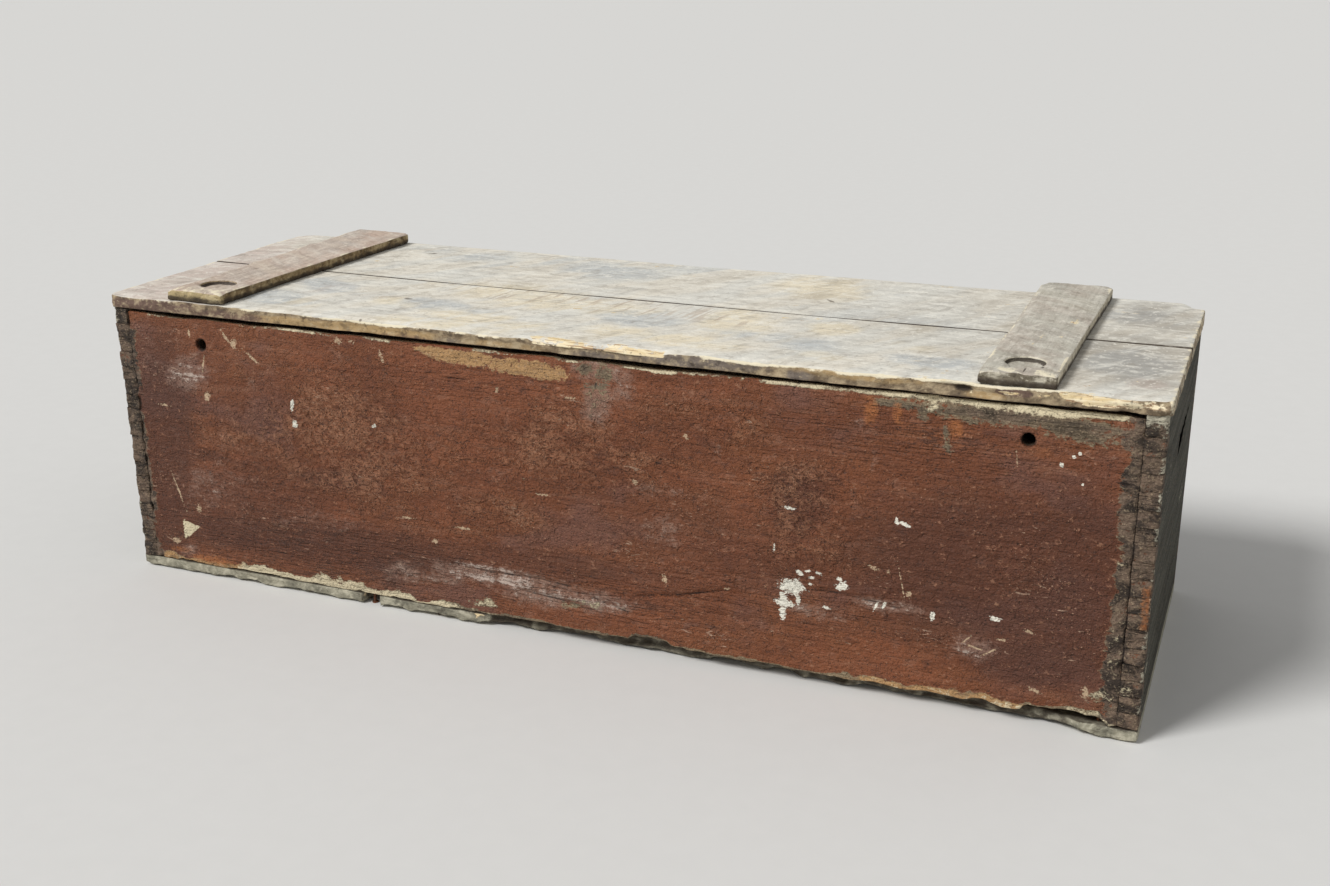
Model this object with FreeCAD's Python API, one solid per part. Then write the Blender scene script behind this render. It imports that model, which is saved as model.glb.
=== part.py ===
import FreeCAD, Part
import math
import os

Vec = FreeCAD.Vector

# Carcass boards, all sizes in millimetres
CHEST_LENGTH = 1070.0
CHEST_DEPTH = 346.0
FRONT_HEIGHT = 281.0
BOARD_THICKNESS = 18.0
BOTTOM_THICKNESS = 12.7
BOTTOM_SEAM = 0.6

# The ends and the back stand this much higher than the front
FRONT_DROP = 1.2

# Comb joint at the four corners, fingers counted down from the top
FINGER_COUNT = 18

# Two round holes through the front board
FRONT_HOLE_DIAMETER = 12.0
FRONT_HOLE_FROM_END = 110.0
FRONT_HOLE_BELOW_TOP = 29.0

# Front edge of the bottom, broken back over its right half
BREAK_DEPTH_SHARE = 0.75
# Share of the length from the left end, then share of the break depth
BREAK_OUTLINE_SHARES = [
    (0.000, 0.00), (0.266, 0.00), (0.269, 0.80), (0.283, 0.85), (0.287, 0.00),
    (0.402, 0.00), (0.411, 0.55), (0.450, 0.80), (0.520, 1.00), (0.640, 0.85),
    (0.760, 1.00), (0.860, 0.80), (0.925, 0.90), (0.945, 0.35), (0.955, 0.00),
    (1.000, 0.00),
]

# Lid of two boards held by two cross battens
LID_THICKNESS = 15.0
LID_SEAM = 0.8
LID_END_OVERHANG = 2.0
LID_FRONT_OVERHANG = 1.5
LID_REAR_OVERHANG = 2.0
LID_FRONT_CORNER_RADIUS = 5.0
LID_REAR_CORNER_RADIUS = 13.0
BATTEN_WIDTH = 65.0
BATTEN_THICKNESS = 11.0
BATTEN_CORNER_RADIUS = 8.0
BATTEN_FRONT_SETBACK = 2.0
LEFT_BATTEN_FROM_END = 79.0
RIGHT_BATTEN_FROM_END = 92.0

# Round recess in the top of each batten, near its front end
RECESS_DIAMETER = 35.0
RECESS_DEPTH_SHARE = 0.45
RECESS_FROM_FRONT = 39.0

# Wire nails
NAIL_DIAMETER = 3.0
NAIL_HEAD_DIAMETER = 6.5
NAIL_HEAD_THICKNESS = 1.2
BOTTOM_NAIL_GRIP = 26.0
BATTEN_NAIL_GRIP_SHARE = 0.7
# Shares of the chest length, from the left end
FRONT_NAIL_SHARES = [0.045, 0.120, 0.200, 0.276, 0.350, 0.968]
BACK_NAIL_SHARES = [0.045, 0.175, 0.305, 0.435, 0.565, 0.695, 0.825, 0.955]
# Shares of the chest depth, from the front
END_NAIL_SHARES = [0.16, 0.29, 0.42, 0.58, 0.71, 0.84]
# Shares of a batten's width and of the depth of one lid board
BATTEN_NAIL_ACROSS_SHARES = [0.25, 0.75]
BATTEN_NAIL_ALONG_SHARES = [0.35, 0.80]

# Two butt hinges at the back, one leaf let into the back and one into the lid
HINGE_FROM_END = 190.0
LEAF_LENGTH = 64.0
LEAF_WIDTH_SHARE = 0.8
LEAF_THICKNESS = 2.0
KNUCKLE_COUNT = 3
KNUCKLE_RADIUS = 3.5
KNUCKLE_CLEARANCE = 0.4
KNUCKLE_END_GAP = 0.3
PIN_RADIUS = 2.0
PIN_CLEARANCE = 0.05
PIN_HEAD_RADIUS = 3.0
PIN_HEAD_THICKNESS = 1.0

# Countersunk slotted screws for the hinge leaves
SCREW_RADIUS = 1.6
SCREW_HEAD_RADIUS = 3.2
SCREW_HEAD_DEPTH_SHARE = 0.75
SCREW_SUNK_SHARE = 0.1
SCREW_SLOT_WIDTH = 0.8
SCREW_SLOT_DEPTH_SHARE = 0.4
LOWER_SCREW_LENGTH = 22.0
UPPER_SCREW_LENGTH_SHARE = 0.8
# Shares of the leaf length and of the leaf width
SCREW_ALONG_SHARES = [0.15, 0.50, 0.85]
SCREW_ACROSS_SHARES = [0.38, 0.55, 0.38]

# Planes worked out from the sizes, origin at the bottom centre of the whole chest
UP = Vec(0, 0, 1)
DOWN = Vec(0, 0, -1)
ALONG_X = Vec(1, 0, 0)
ALONG_Y = Vec(0, 1, 0)
KNUCKLE_REACH = LID_REAR_OVERHANG + KNUCKLE_CLEARANCE + 2 * KNUCKLE_RADIUS
TOTAL_DEPTH = LID_FRONT_OVERHANG + CHEST_DEPTH + KNUCKLE_REACH
FRONT_Y = LID_FRONT_OVERHANG - TOTAL_DEPTH / 2
BACK_Y = FRONT_Y + CHEST_DEPTH
MIDDLE_Y = (FRONT_Y + BACK_Y) / 2
FRONT_INNER_Y = FRONT_Y + BOARD_THICKNESS
BACK_INNER_Y = BACK_Y - BOARD_THICKNESS
LEFT_X = -CHEST_LENGTH / 2
RIGHT_X = CHEST_LENGTH / 2
LEFT_INNER_X = LEFT_X + BOARD_THICKNESS
RIGHT_INNER_X = RIGHT_X - BOARD_THICKNESS
FLOOR_Z = 0.0
CARCASS_Z = FLOOR_Z + BOTTOM_THICKNESS
FRONT_TOP_Z = CARCASS_Z + FRONT_HEIGHT
RIM_Z = FRONT_TOP_Z + FRONT_DROP
LID_TOP_Z = RIM_Z + LID_THICKNESS
BATTEN_TOP_Z = LID_TOP_Z + BATTEN_THICKNESS
LID_FRONT_Y = FRONT_Y - LID_FRONT_OVERHANG
LID_REAR_Y = BACK_Y + LID_REAR_OVERHANG
LID_MIDDLE_Y = (LID_FRONT_Y + LID_REAR_Y) / 2
LID_LEFT_X = LEFT_X - LID_END_OVERHANG
LID_RIGHT_X = RIGHT_X + LID_END_OVERHANG
HINGE_Y = LID_REAR_Y + KNUCKLE_CLEARANCE + KNUCKLE_RADIUS
FINGER_HEIGHT = FRONT_HEIGHT / FINGER_COUNT
BREAK_DEPTH = BOARD_THICKNESS * BREAK_DEPTH_SHARE
RECESS_DEPTH = BATTEN_THICKNESS * RECESS_DEPTH_SHARE
LEAF_WIDTH = BOARD_THICKNESS * LEAF_WIDTH_SHARE
LEAF_INNER_Y = BACK_Y - LEAF_WIDTH
SCREW_HEAD_DEPTH = LEAF_THICKNESS * SCREW_HEAD_DEPTH_SHARE
SCREW_SUNK = LEAF_THICKNESS * SCREW_SUNK_SHARE
SCREW_SLOT_DEPTH = SCREW_HEAD_DEPTH * SCREW_SLOT_DEPTH_SHARE
UPPER_SCREW_LENGTH = LID_THICKNESS * UPPER_SCREW_LENGTH_SHARE
BOTTOM_NAIL_LENGTH = BOTTOM_THICKNESS + BOTTOM_NAIL_GRIP
BATTEN_NAIL_LENGTH = LID_THICKNESS + BATTEN_THICKNESS * BATTEN_NAIL_GRIP_SHARE
HINGE_CENTRES = {"left": LEFT_X + HINGE_FROM_END, "right": RIGHT_X - HINGE_FROM_END}


def save(name, shape):
    shape.exportStep("parts/" + name + ".step")


def group(solids):
    return Part.makeCompound(solids)


def block(x0, x1, y0, y1, z0, z1):
    return Part.makeBox(x1 - x0, y1 - y0, z1 - z0, Vec(x0, y0, z0))


def prism(points, z0, z1):
    corners = [Vec(x, y, z0) for x, y in points]
    outline = Part.makePolygon(corners + corners[:1])
    return Part.Face(outline).extrude(Vec(0, 0, z1 - z0))


def rounded_slab(x0, x1, y0, y1, z0, z1, front_radius, rear_radius):
    corners = [
        (x0, y0, 1, 1, front_radius),
        (x1, y0, -1, 1, front_radius),
        (x1, y1, -1, -1, rear_radius),
        (x0, y1, 1, -1, rear_radius),
    ]
    stops = []
    for index, (x, y, inward_x, inward_y, radius) in enumerate(corners):
        on_side = Vec(x, y + inward_y * radius, z0)
        on_edge = Vec(x + inward_x * radius, y, z0)
        inset = radius * (1 - math.sqrt(0.5))
        middle = Vec(x + inward_x * inset, y + inward_y * inset, z0)
        if index % 2 == 0:
            stops.append((on_side, middle, on_edge, radius))
        else:
            stops.append((on_edge, middle, on_side, radius))
    edges = []
    for index, (start, middle, end, radius) in enumerate(stops):
        if radius > 0:
            edges.append(Part.Arc(start, middle, end).toShape())
        following = stops[(index + 1) % len(stops)]
        edges.append(Part.LineSegment(end, following[0]).toShape())
    return Part.Face(Part.Wire(edges)).extrude(Vec(0, 0, z1 - z0))


def finger_spans(first):
    spans = []
    for index in range(first, FINGER_COUNT, 2):
        upper = FRONT_TOP_Z - index * FINGER_HEIGHT
        lower = upper - FINGER_HEIGHT
        if index == 0:
            upper = RIM_Z
        spans.append((lower, upper))
    return spans


def nail(x, y, z, length):
    head = Part.makeCylinder(NAIL_HEAD_DIAMETER / 2, NAIL_HEAD_THICKNESS, Vec(x, y, z), UP)
    shank = Part.makeCylinder(NAIL_DIAMETER / 2, length, Vec(x, y, z), UP)
    return head.fuse(shank).removeSplitter()


def screw(x, y, z, direction, length):
    top = Vec(x, y, z) + direction * SCREW_SUNK
    head = Part.makeCone(SCREW_HEAD_RADIUS, SCREW_RADIUS, SCREW_HEAD_DEPTH, top, direction)
    shank = Part.makeCylinder(SCREW_RADIUS, length - SCREW_SUNK, top, direction)
    return head.fuse(shank).removeSplitter()


def slotted(plain, x, y, z, direction):
    near = z + direction.z * SCREW_SUNK
    deep = near + direction.z * SCREW_SLOT_DEPTH
    low = min(near, deep)
    high = max(near, deep)
    half_width = SCREW_SLOT_WIDTH / 2
    slot = block(x - SCREW_HEAD_RADIUS, x + SCREW_HEAD_RADIUS, y - half_width, y + half_width, low, high)
    return plain.cut(slot)


def screw_seat(x, y, z, direction, length):
    mouth = Part.makeCylinder(SCREW_HEAD_RADIUS, SCREW_SUNK, Vec(x, y, z), direction)
    return screw(x, y, z, direction, length).fuse(mouth)


def knuckle_spans(centre, first):
    share = LEAF_LENGTH / KNUCKLE_COUNT
    start = centre - LEAF_LENGTH / 2
    spans = []
    for index in range(first, KNUCKLE_COUNT, 2):
        left = start + index * share
        right = left + share
        if index > 0:
            left += KNUCKLE_END_GAP / 2
        if index < KNUCKLE_COUNT - 1:
            right -= KNUCKLE_END_GAP / 2
        spans.append((left, right))
    return spans


def hinge_leaf(centre, first, z0, z1):
    left = centre - LEAF_LENGTH / 2
    right = centre + LEAF_LENGTH / 2
    plate_rear_y = HINGE_Y - KNUCKLE_RADIUS - KNUCKLE_CLEARANCE
    leaf = block(left, right, LEAF_INNER_Y, plate_rear_y, z0, z1)
    bore_radius = PIN_RADIUS + PIN_CLEARANCE
    for span_left, span_right in knuckle_spans(centre, first):
        neck = block(span_left, span_right, plate_rear_y, HINGE_Y, z0, z1)
        eye = Vec(span_left, HINGE_Y, RIM_Z)
        barrel = Part.makeCylinder(KNUCKLE_RADIUS, span_right - span_left, eye, ALONG_X)
        leaf = leaf.fuse(neck).fuse(barrel)
    bore = Part.makeCylinder(bore_radius, LEAF_LENGTH, Vec(left, HINGE_Y, RIM_Z), ALONG_X)
    return leaf.removeSplitter().cut(bore)


def hinge_pin(centre):
    left = centre - LEAF_LENGTH / 2
    right = centre + LEAF_LENGTH / 2
    shaft = Part.makeCylinder(PIN_RADIUS, LEAF_LENGTH, Vec(left, HINGE_Y, RIM_Z), ALONG_X)
    left_head_start = Vec(left - PIN_HEAD_THICKNESS, HINGE_Y, RIM_Z)
    left_head = Part.makeCylinder(PIN_HEAD_RADIUS, PIN_HEAD_THICKNESS, left_head_start, ALONG_X)
    right_head_start = Vec(right, HINGE_Y, RIM_Z)
    right_head = Part.makeCylinder(PIN_HEAD_RADIUS, PIN_HEAD_THICKNESS, right_head_start, ALONG_X)
    return shaft.fuse(left_head).fuse(right_head).removeSplitter()


def leaf_screw_places(centre):
    places = []
    for along, across in zip(SCREW_ALONG_SHARES, SCREW_ACROSS_SHARES):
        x = centre - LEAF_LENGTH / 2 + along * LEAF_LENGTH
        y = LEAF_INNER_Y + across * LEAF_WIDTH
        places.append((x, y))
    return places


os.makedirs("parts", exist_ok=True)

# Nails that hold the bottom, driven up from below
bottom_nails = []
for share in FRONT_NAIL_SHARES:
    nail_x = LEFT_X + share * CHEST_LENGTH
    nail_y = FRONT_Y + BOARD_THICKNESS / 2
    bottom_nails.append(nail(nail_x, nail_y, FLOOR_Z, BOTTOM_NAIL_LENGTH))
for share in BACK_NAIL_SHARES:
    nail_x = LEFT_X + share * CHEST_LENGTH
    nail_y = BACK_Y - BOARD_THICKNESS / 2
    bottom_nails.append(nail(nail_x, nail_y, FLOOR_Z, BOTTOM_NAIL_LENGTH))
for nail_x in (LEFT_X + BOARD_THICKNESS / 2, RIGHT_X - BOARD_THICKNESS / 2):
    for share in END_NAIL_SHARES:
        nail_y = FRONT_Y + share * CHEST_DEPTH
        bottom_nails.append(nail(nail_x, nail_y, FLOOR_Z, BOTTOM_NAIL_LENGTH))
bottom_nail_group = group(bottom_nails)
save("bottom_nails", bottom_nail_group)

# Bottom boards, the front one with its broken edge
bottom_outline = []
for along, depth in BREAK_OUTLINE_SHARES:
    bottom_outline.append((LEFT_X + along * CHEST_LENGTH, FRONT_Y + depth * BREAK_DEPTH))
bottom_front_rear_y = MIDDLE_Y - BOTTOM_SEAM / 2
bottom_outline.append((RIGHT_X, bottom_front_rear_y))
bottom_outline.append((LEFT_X, bottom_front_rear_y))
bottom_front = prism(bottom_outline, FLOOR_Z, CARCASS_Z)
save("bottom_front_board", bottom_front.cut(bottom_nail_group))
bottom_rear_front_y = MIDDLE_Y + BOTTOM_SEAM / 2
bottom_rear = block(LEFT_X, RIGHT_X, bottom_rear_front_y, BACK_Y, FLOOR_Z, CARCASS_Z)
save("bottom_rear_board", bottom_rear.cut(bottom_nail_group))

# Hinge screws and the shapes they need in the leaves and boards
lower_screws = []
upper_screws = []
lower_seats = []
upper_seats = []
for centre in HINGE_CENTRES.values():
    for x, y in leaf_screw_places(centre):
        lower_plain = screw(x, y, RIM_Z, DOWN, LOWER_SCREW_LENGTH)
        lower_screws.append(slotted(lower_plain, x, y, RIM_Z, DOWN))
        lower_seats.append(screw_seat(x, y, RIM_Z, DOWN, LOWER_SCREW_LENGTH))
        upper_plain = screw(x, y, RIM_Z, UP, UPPER_SCREW_LENGTH)
        upper_screws.append(slotted(upper_plain, x, y, RIM_Z, UP))
        upper_seats.append(screw_seat(x, y, RIM_Z, UP, UPPER_SCREW_LENGTH))
save("hinge_lower_screws", group(lower_screws))
save("hinge_upper_screws", group(upper_screws))
lower_seat_group = group(lower_seats)
upper_seat_group = group(upper_seats)

# Front and back boards with the sockets of the comb joint
front = block(LEFT_X, RIGHT_X, FRONT_Y, FRONT_INNER_Y, CARCASS_Z, FRONT_TOP_Z)
back = block(LEFT_X, RIGHT_X, BACK_INNER_Y, BACK_Y, CARCASS_Z, RIM_Z)
end_finger_spans = finger_spans(0)
for lower, upper in end_finger_spans:
    for x0, x1 in ((LEFT_X, LEFT_INNER_X), (RIGHT_INNER_X, RIGHT_X)):
        front = front.cut(block(x0, x1, FRONT_Y, FRONT_INNER_Y, lower, upper))
        back = back.cut(block(x0, x1, BACK_INNER_Y, BACK_Y, lower, upper))
hole_z = FRONT_TOP_Z - FRONT_HOLE_BELOW_TOP
for hole_x in (LEFT_X + FRONT_HOLE_FROM_END, RIGHT_X - FRONT_HOLE_FROM_END):
    hole_start = Vec(hole_x, FRONT_Y, hole_z)
    front = front.cut(Part.makeCylinder(FRONT_HOLE_DIAMETER / 2, BOARD_THICKNESS, hole_start, ALONG_Y))
save("front_board", front.cut(bottom_nail_group))
for centre in HINGE_CENTRES.values():
    left = centre - LEAF_LENGTH / 2
    right = centre + LEAF_LENGTH / 2
    back = back.cut(block(left, right, LEAF_INNER_Y, BACK_Y, RIM_Z - LEAF_THICKNESS, RIM_Z))
save("back_board", back.cut(bottom_nail_group).cut(lower_seat_group))

# End boards with the fingers that fill those sockets
for name, x0, x1 in (("left", LEFT_X, LEFT_INNER_X), ("right", RIGHT_INNER_X, RIGHT_X)):
    end = block(x0, x1, FRONT_Y, BACK_Y, CARCASS_Z, RIM_Z)
    for lower, upper in finger_spans(1):
        end = end.cut(block(x0, x1, FRONT_Y, FRONT_INNER_Y, lower, upper))
        end = end.cut(block(x0, x1, BACK_INNER_Y, BACK_Y, lower, upper))
    save(name + "_end_board", end.cut(bottom_nail_group))

# Nails that hold the battens, driven up through the lid boards
lid_front_rear_y = LID_MIDDLE_Y - LID_SEAM / 2
lid_rear_front_y = LID_MIDDLE_Y + LID_SEAM / 2
batten_starts = {
    "left": LEFT_X + LEFT_BATTEN_FROM_END,
    "right": RIGHT_X - RIGHT_BATTEN_FROM_END - BATTEN_WIDTH,
}
lid_board_spans = ((LID_FRONT_Y, lid_front_rear_y), (lid_rear_front_y, LID_REAR_Y))
batten_nails = []
for start in batten_starts.values():
    for across in BATTEN_NAIL_ACROSS_SHARES:
        for y0, y1 in lid_board_spans:
            for along in BATTEN_NAIL_ALONG_SHARES:
                nail_x = start + across * BATTEN_WIDTH
                nail_y = y0 + along * (y1 - y0)
                batten_nails.append(nail(nail_x, nail_y, RIM_Z, BATTEN_NAIL_LENGTH))
batten_nail_group = group(batten_nails)
save("batten_nails", batten_nail_group)

# Lid boards and battens
lid_front = rounded_slab(LID_LEFT_X, LID_RIGHT_X, LID_FRONT_Y, lid_front_rear_y, RIM_Z, LID_TOP_Z,
                         LID_FRONT_CORNER_RADIUS, 0)
save("lid_front_board", lid_front.cut(batten_nail_group))
lid_rear = rounded_slab(LID_LEFT_X, LID_RIGHT_X, lid_rear_front_y, LID_REAR_Y, RIM_Z, LID_TOP_Z,
                        0, LID_REAR_CORNER_RADIUS)
for centre in HINGE_CENTRES.values():
    left = centre - LEAF_LENGTH / 2
    right = centre + LEAF_LENGTH / 2
    lid_rear = lid_rear.cut(block(left, right, LEAF_INNER_Y, LID_REAR_Y, RIM_Z, RIM_Z + LEAF_THICKNESS))
save("lid_rear_board", lid_rear.cut(batten_nail_group).cut(upper_seat_group))
for name, start in batten_starts.items():
    batten = rounded_slab(start, start + BATTEN_WIDTH, LID_FRONT_Y + BATTEN_FRONT_SETBACK, LID_REAR_Y,
                          LID_TOP_Z, BATTEN_TOP_Z, 0, BATTEN_CORNER_RADIUS)
    recess_y = LID_FRONT_Y + BATTEN_FRONT_SETBACK + RECESS_FROM_FRONT
    recess_foot = Vec(start + BATTEN_WIDTH / 2, recess_y, BATTEN_TOP_Z - RECESS_DEPTH)
    recess = Part.makeCylinder(RECESS_DIAMETER / 2, RECESS_DEPTH, recess_foot, UP)
    save("lid_" + name + "_batten", batten.cut(recess).cut(batten_nail_group))

# Hinges
for name, centre in HINGE_CENTRES.items():
    lower_leaf = hinge_leaf(centre, 0, RIM_Z - LEAF_THICKNESS, RIM_Z)
    save("hinge_" + name + "_lower_leaf", lower_leaf.cut(lower_seat_group))
    upper_leaf = hinge_leaf(centre, 1, RIM_Z, RIM_Z + LEAF_THICKNESS)
    save("hinge_" + name + "_upper_leaf", upper_leaf.cut(upper_seat_group))
    save("hinge_" + name + "_pin", hinge_pin(centre))
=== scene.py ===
import math

import bpy
import numpy as np
from mathutils import Matrix, Vector


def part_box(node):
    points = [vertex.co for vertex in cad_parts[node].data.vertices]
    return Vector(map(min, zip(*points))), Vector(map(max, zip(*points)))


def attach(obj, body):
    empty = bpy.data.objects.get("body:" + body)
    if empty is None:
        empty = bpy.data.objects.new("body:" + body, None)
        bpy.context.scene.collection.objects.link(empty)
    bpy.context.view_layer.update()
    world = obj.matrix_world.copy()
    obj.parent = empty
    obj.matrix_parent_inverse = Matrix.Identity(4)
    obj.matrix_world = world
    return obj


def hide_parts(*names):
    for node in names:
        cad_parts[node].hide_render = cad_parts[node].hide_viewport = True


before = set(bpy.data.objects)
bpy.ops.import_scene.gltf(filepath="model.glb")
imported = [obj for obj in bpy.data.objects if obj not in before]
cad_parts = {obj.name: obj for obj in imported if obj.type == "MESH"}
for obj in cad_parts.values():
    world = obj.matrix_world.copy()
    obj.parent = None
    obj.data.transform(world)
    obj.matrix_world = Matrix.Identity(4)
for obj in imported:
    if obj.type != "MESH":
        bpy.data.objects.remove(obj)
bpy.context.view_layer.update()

# Camera solved from the corners of the chest in the photograph, all places in metres
PHOTO_WIDTH = 1330
PHOTO_HEIGHT = 886
FOCAL_PIXELS = 1517.15
SENSOR_WIDTH = 36.0
CAMERA_PLACE = Vector((0.60984, -1.39543, 0.67293))
CAMERA_AHEAD = Vector((-0.36718, 0.87219, -0.32319))
CAMERA_RIGHT = Vector((0.92280, 0.38518, -0.00892))
CAMERA_UP = CAMERA_RIGHT.cross(CAMERA_AHEAD)

# Light from above and the front left, with a pale surround and a wide floor
SUN_FROM = Vector((-0.45, -0.55, 0.70))
SUN_STRENGTH = 2.6
SUN_ANGLE = math.radians(20)
SURROUND_STRENGTH = 0.4
FLOOR_HALF = 40.0

# Boards are measured from the frame
low_front, high_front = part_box("front_board")
low_back, high_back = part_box("back_board")
FINGER_COUNT = 18
FINGER_HEIGHT = (high_front.z - low_front.z) / FINGER_COUNT
FINGER_KNOTS = [low_front.z + n * FINGER_HEIGHT for n in range(1, FINGER_COUNT)]
BOARD_THICKNESS = high_front.y - low_front.y
INNER_X = high_front.x - BOARD_THICKNESS
LEAF_BOXES = [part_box("hinge_" + side + "_lower_leaf") for side in ("left", "right")]
LEAF_KNOTS = [corner.x for leaf in LEAF_BOXES for corner in leaf]
LEAF_FRONT = LEAF_BOXES[0][0].y
LEAF_THICKNESS = 0.002

# Lattice of the boards: extra lines beside each edge, and the plain steps along x, y and z
EDGE_OFFSETS = (0.0009, 0.0025)
FRONT_STEPS = (0.0041, 0.006, 0.0024)
END_STEPS = (0.005, 0.0036, 0.0024)
BACK_STEPS = (0.006, 0.006, 0.003)
BOTTOM_STEPS = (0.004, 0.006, 0.0025)
LID_FRONT_STEPS = (0.0037, 0.0029, 0.0025)
LID_REAR_STEPS = (0.0042, 0.0032, 0.003)
BATTEN_STEPS = (0.0022, 0.0024, 0.0025)

# A point within SKIN of a face lies on it, and the look of the face is gone at the second depth of FACE
SKIN = 0.001
FACE = (SKIN, 0.006)

# What the boards share: wear of crisp edges, least height of worn bands, corners, comb joints, and the height
# of the band darkened towards the bottom
CRISP_WEAR = 0.15
LEAST_HEIGHT = 0.0004
CORNER_RADIUS = 0.003
COMB_REACH = 0.010
COMB_LINE_HALF = 0.0018
JOINT_HALF = 0.002
FOOT_HEIGHT = 0.05

# No turn about x, y and z
NO_TURN = (0, 0, 0)

# Small marks fade out this far in front of or behind their plane
MARK_DEPTH = 0.005

# Random fields: cell along x, y and z in metres, number of the draw, and count of octaves.
# The cells of the grain and of its unevenness run along the grain first.
EDGE_FIELD = ((0.03, 0.03, 0.03), 3, 1)
FINE_EDGE_FIELD = ((0.02, 0.02, 0.02), 0, 1)
JAG_FIELD = ((0.011, 0.011, 0.008), 21, 3)
GRAIN_FIELD = ((0.09, 0.007, 0.007), 0, 2)
UNEVEN_FIELD = ((0.2, 0.05, 0.05), 9, 1)
COMB_FIELD = ((0.012, 0.012, 0.011), 0, 1)
BROAD_COMB_FIELD = ((0.05, 0.05, 0.04), 1, 1)
GRAIN_HEIGHT = 0.0003
UNEVEN_HEIGHT = 0.0005

# Soft patches in pixels of the photograph: middle, half width, half height, tilt in degrees, strength
FRONT_GOLDEN = [
    (520, 366, 44, 10, 6, 1.0), (545, 370, 26, 10, 6, 1.0), (465, 357, 40, 9, 8, 1.0),
    (436, 349, 26, 5, 6, 0.9),
]
FRONT_GREY = [
    (585, 368, 9, 9, 12, 1.0), (603, 373, 12, 15, 0, 0.85), (596, 395, 15, 22, 0, 0.6),
    (1000, 415, 84, 12, 7, 1.0), (1085, 431, 64, 14, 8, 1.0), (1058, 434, 6, 6, 0, 0.9),
    (905, 403, 36, 6, 6, 0.8), (922, 412, 9, 11, 0, 0.8), (947, 440, 5, 18, -10, 0.7),
]
FRONT_ORANGE = [
    (870, 411, 8, 17, -4, 1.0), (898, 415, 6, 13, -4, 0.9), (956, 428, 8, 11, -12, 1.0),
    (180, 549, 14, 4, 10, 0.9), (215, 560, 26, 5, 10, 1.0), (1146, 606, 6, 26, 4, 1.0),
    (310, 455, 16, 8, 10, 0.5), (545, 368, 24, 8, 6, 0.5), (255, 338, 26, 8, 6, 0.4),
    (1040, 452, 40, 8, 7, 0.5), (995, 448, 20, 10, 6, 0.4), (420, 590, 20, 6, 8, 0.5),
]
FRONT_HAZE = [
    (188, 372, 26, 20, 0, 0.9), (212, 484, 44, 30, 10, 0.65), (500, 577, 76, 11, 9, 1.15),
    (545, 594, 56, 16, 9, 1.1), (890, 606, 46, 8, 8, 0.9), (655, 490, 34, 8, 4, 0.7),
    (664, 530, 26, 20, 0, 0.7), (585, 608, 40, 12, 8, 0.55), (680, 628, 70, 12, 8, 0.3),
    (320, 520, 60, 12, 9, 0.6), (600, 370, 32, 16, 6, 1.2), (598, 400, 18, 28, 0, 1.1),
    (624, 388, 14, 20, 0, 0.9), (190, 550, 12, 8, 0, 0.9), (240, 520, 50, 12, 8, 0.4),
    (450, 576, 30, 10, 0, 0.9), (594, 602, 46, 12, 10, 1.15), (408, 574, 30, 12, 8, 0.8),
    (820, 612, 40, 10, 9, 0.8), (975, 648, 26, 16, 10, 0.9), (718, 452, 4, 14, 0, 0.6),
    (924, 416, 14, 18, 0, 0.5), (944, 447, 14, 12, 20, 0.5), (858, 423, 11, 9, 0, 0.8),
    (874, 462, 5, 15, 0, 0.6), (252, 385, 8, 9, 0, 0.8), (156, 350, 46, 50, 0, 0.4),
    (1096, 470, 40, 22, 8, 0.5),
]
FRONT_WRINKLED = [
    (330, 440, 120, 66, 4, 1.0), (560, 450, 150, 46, 6, 0.9), (805, 520, 46, 56, 0, 1.0),
    (700, 420, 100, 30, 6, 0.6), (480, 510, 80, 30, 8, 0.7), (360, 380, 60, 30, 6, 0.7),
]
FRONT_GRAINED = [
    (340, 560, 170, 40, 8, 1.0), (900, 430, 130, 36, 7, 1.0), (600, 595, 160, 22, 9, 1.0),
    (1080, 430, 60, 20, 8, 0.8), (480, 380, 90, 16, 7, 0.7), (760, 600, 120, 26, 9, 0.7),
    (800, 470, 60, 30, 6, 0.4),
]
FRONT_DEEP = [
    (1000, 570, 160, 80, 6, 1.1), (1080, 590, 60, 100, 0, 1.2), (230, 505, 130, 50, 6, 0.7),
    (340, 545, 180, 26, 8, 0.9), (330, 478, 50, 12, 6, 0.7), (200, 455, 40, 8, 6, 0.7),
    (160, 470, 34, 130, 0, 1.2), (236, 532, 66, 18, 8, 1.1), (560, 565, 160, 16, 8, 0.7),
    (800, 505, 34, 40, 10, 0.9), (880, 590, 80, 8, 9, 0.8), (974, 540, 4, 34, 0, 0.8),
    (170, 500, 20, 40, 0, 0.6), (620, 600, 60, 8, 9, 0.6), (760, 560, 120, 30, 9, 0.6),
    (440, 560, 60, 8, 9, 0.5), (1030, 662, 66, 24, 8, 1.2), (700, 540, 110, 50, 6, 0.5),
    (1110, 640, 20, 60, 0, 1.0),
]
FRONT_DARK = [
    (209, 471, 5, 4, 0, 0.6), (659, 463, 5, 3, 0, 0.8), (792, 500, 12, 5, 20, 0.5),
    (1126, 484, 12, 4, 14, 0.9),
]
FRONT_WORN = [
    (1116, 655, 10, 28, 2, 0.45), (1100, 698, 16, 8, 0, 0.7), (1126, 690, 7, 20, 0, 0.7),
    (1120, 540, 5, 60, 2, 0.5), (484, 602, 16, 5, 8, 0.8), (590, 604, 30, 5, 8, 0.5),
    (933, 403, 7, 8, 0, 1.2), (572, 606, 14, 4, 8, 0.9),
]

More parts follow.
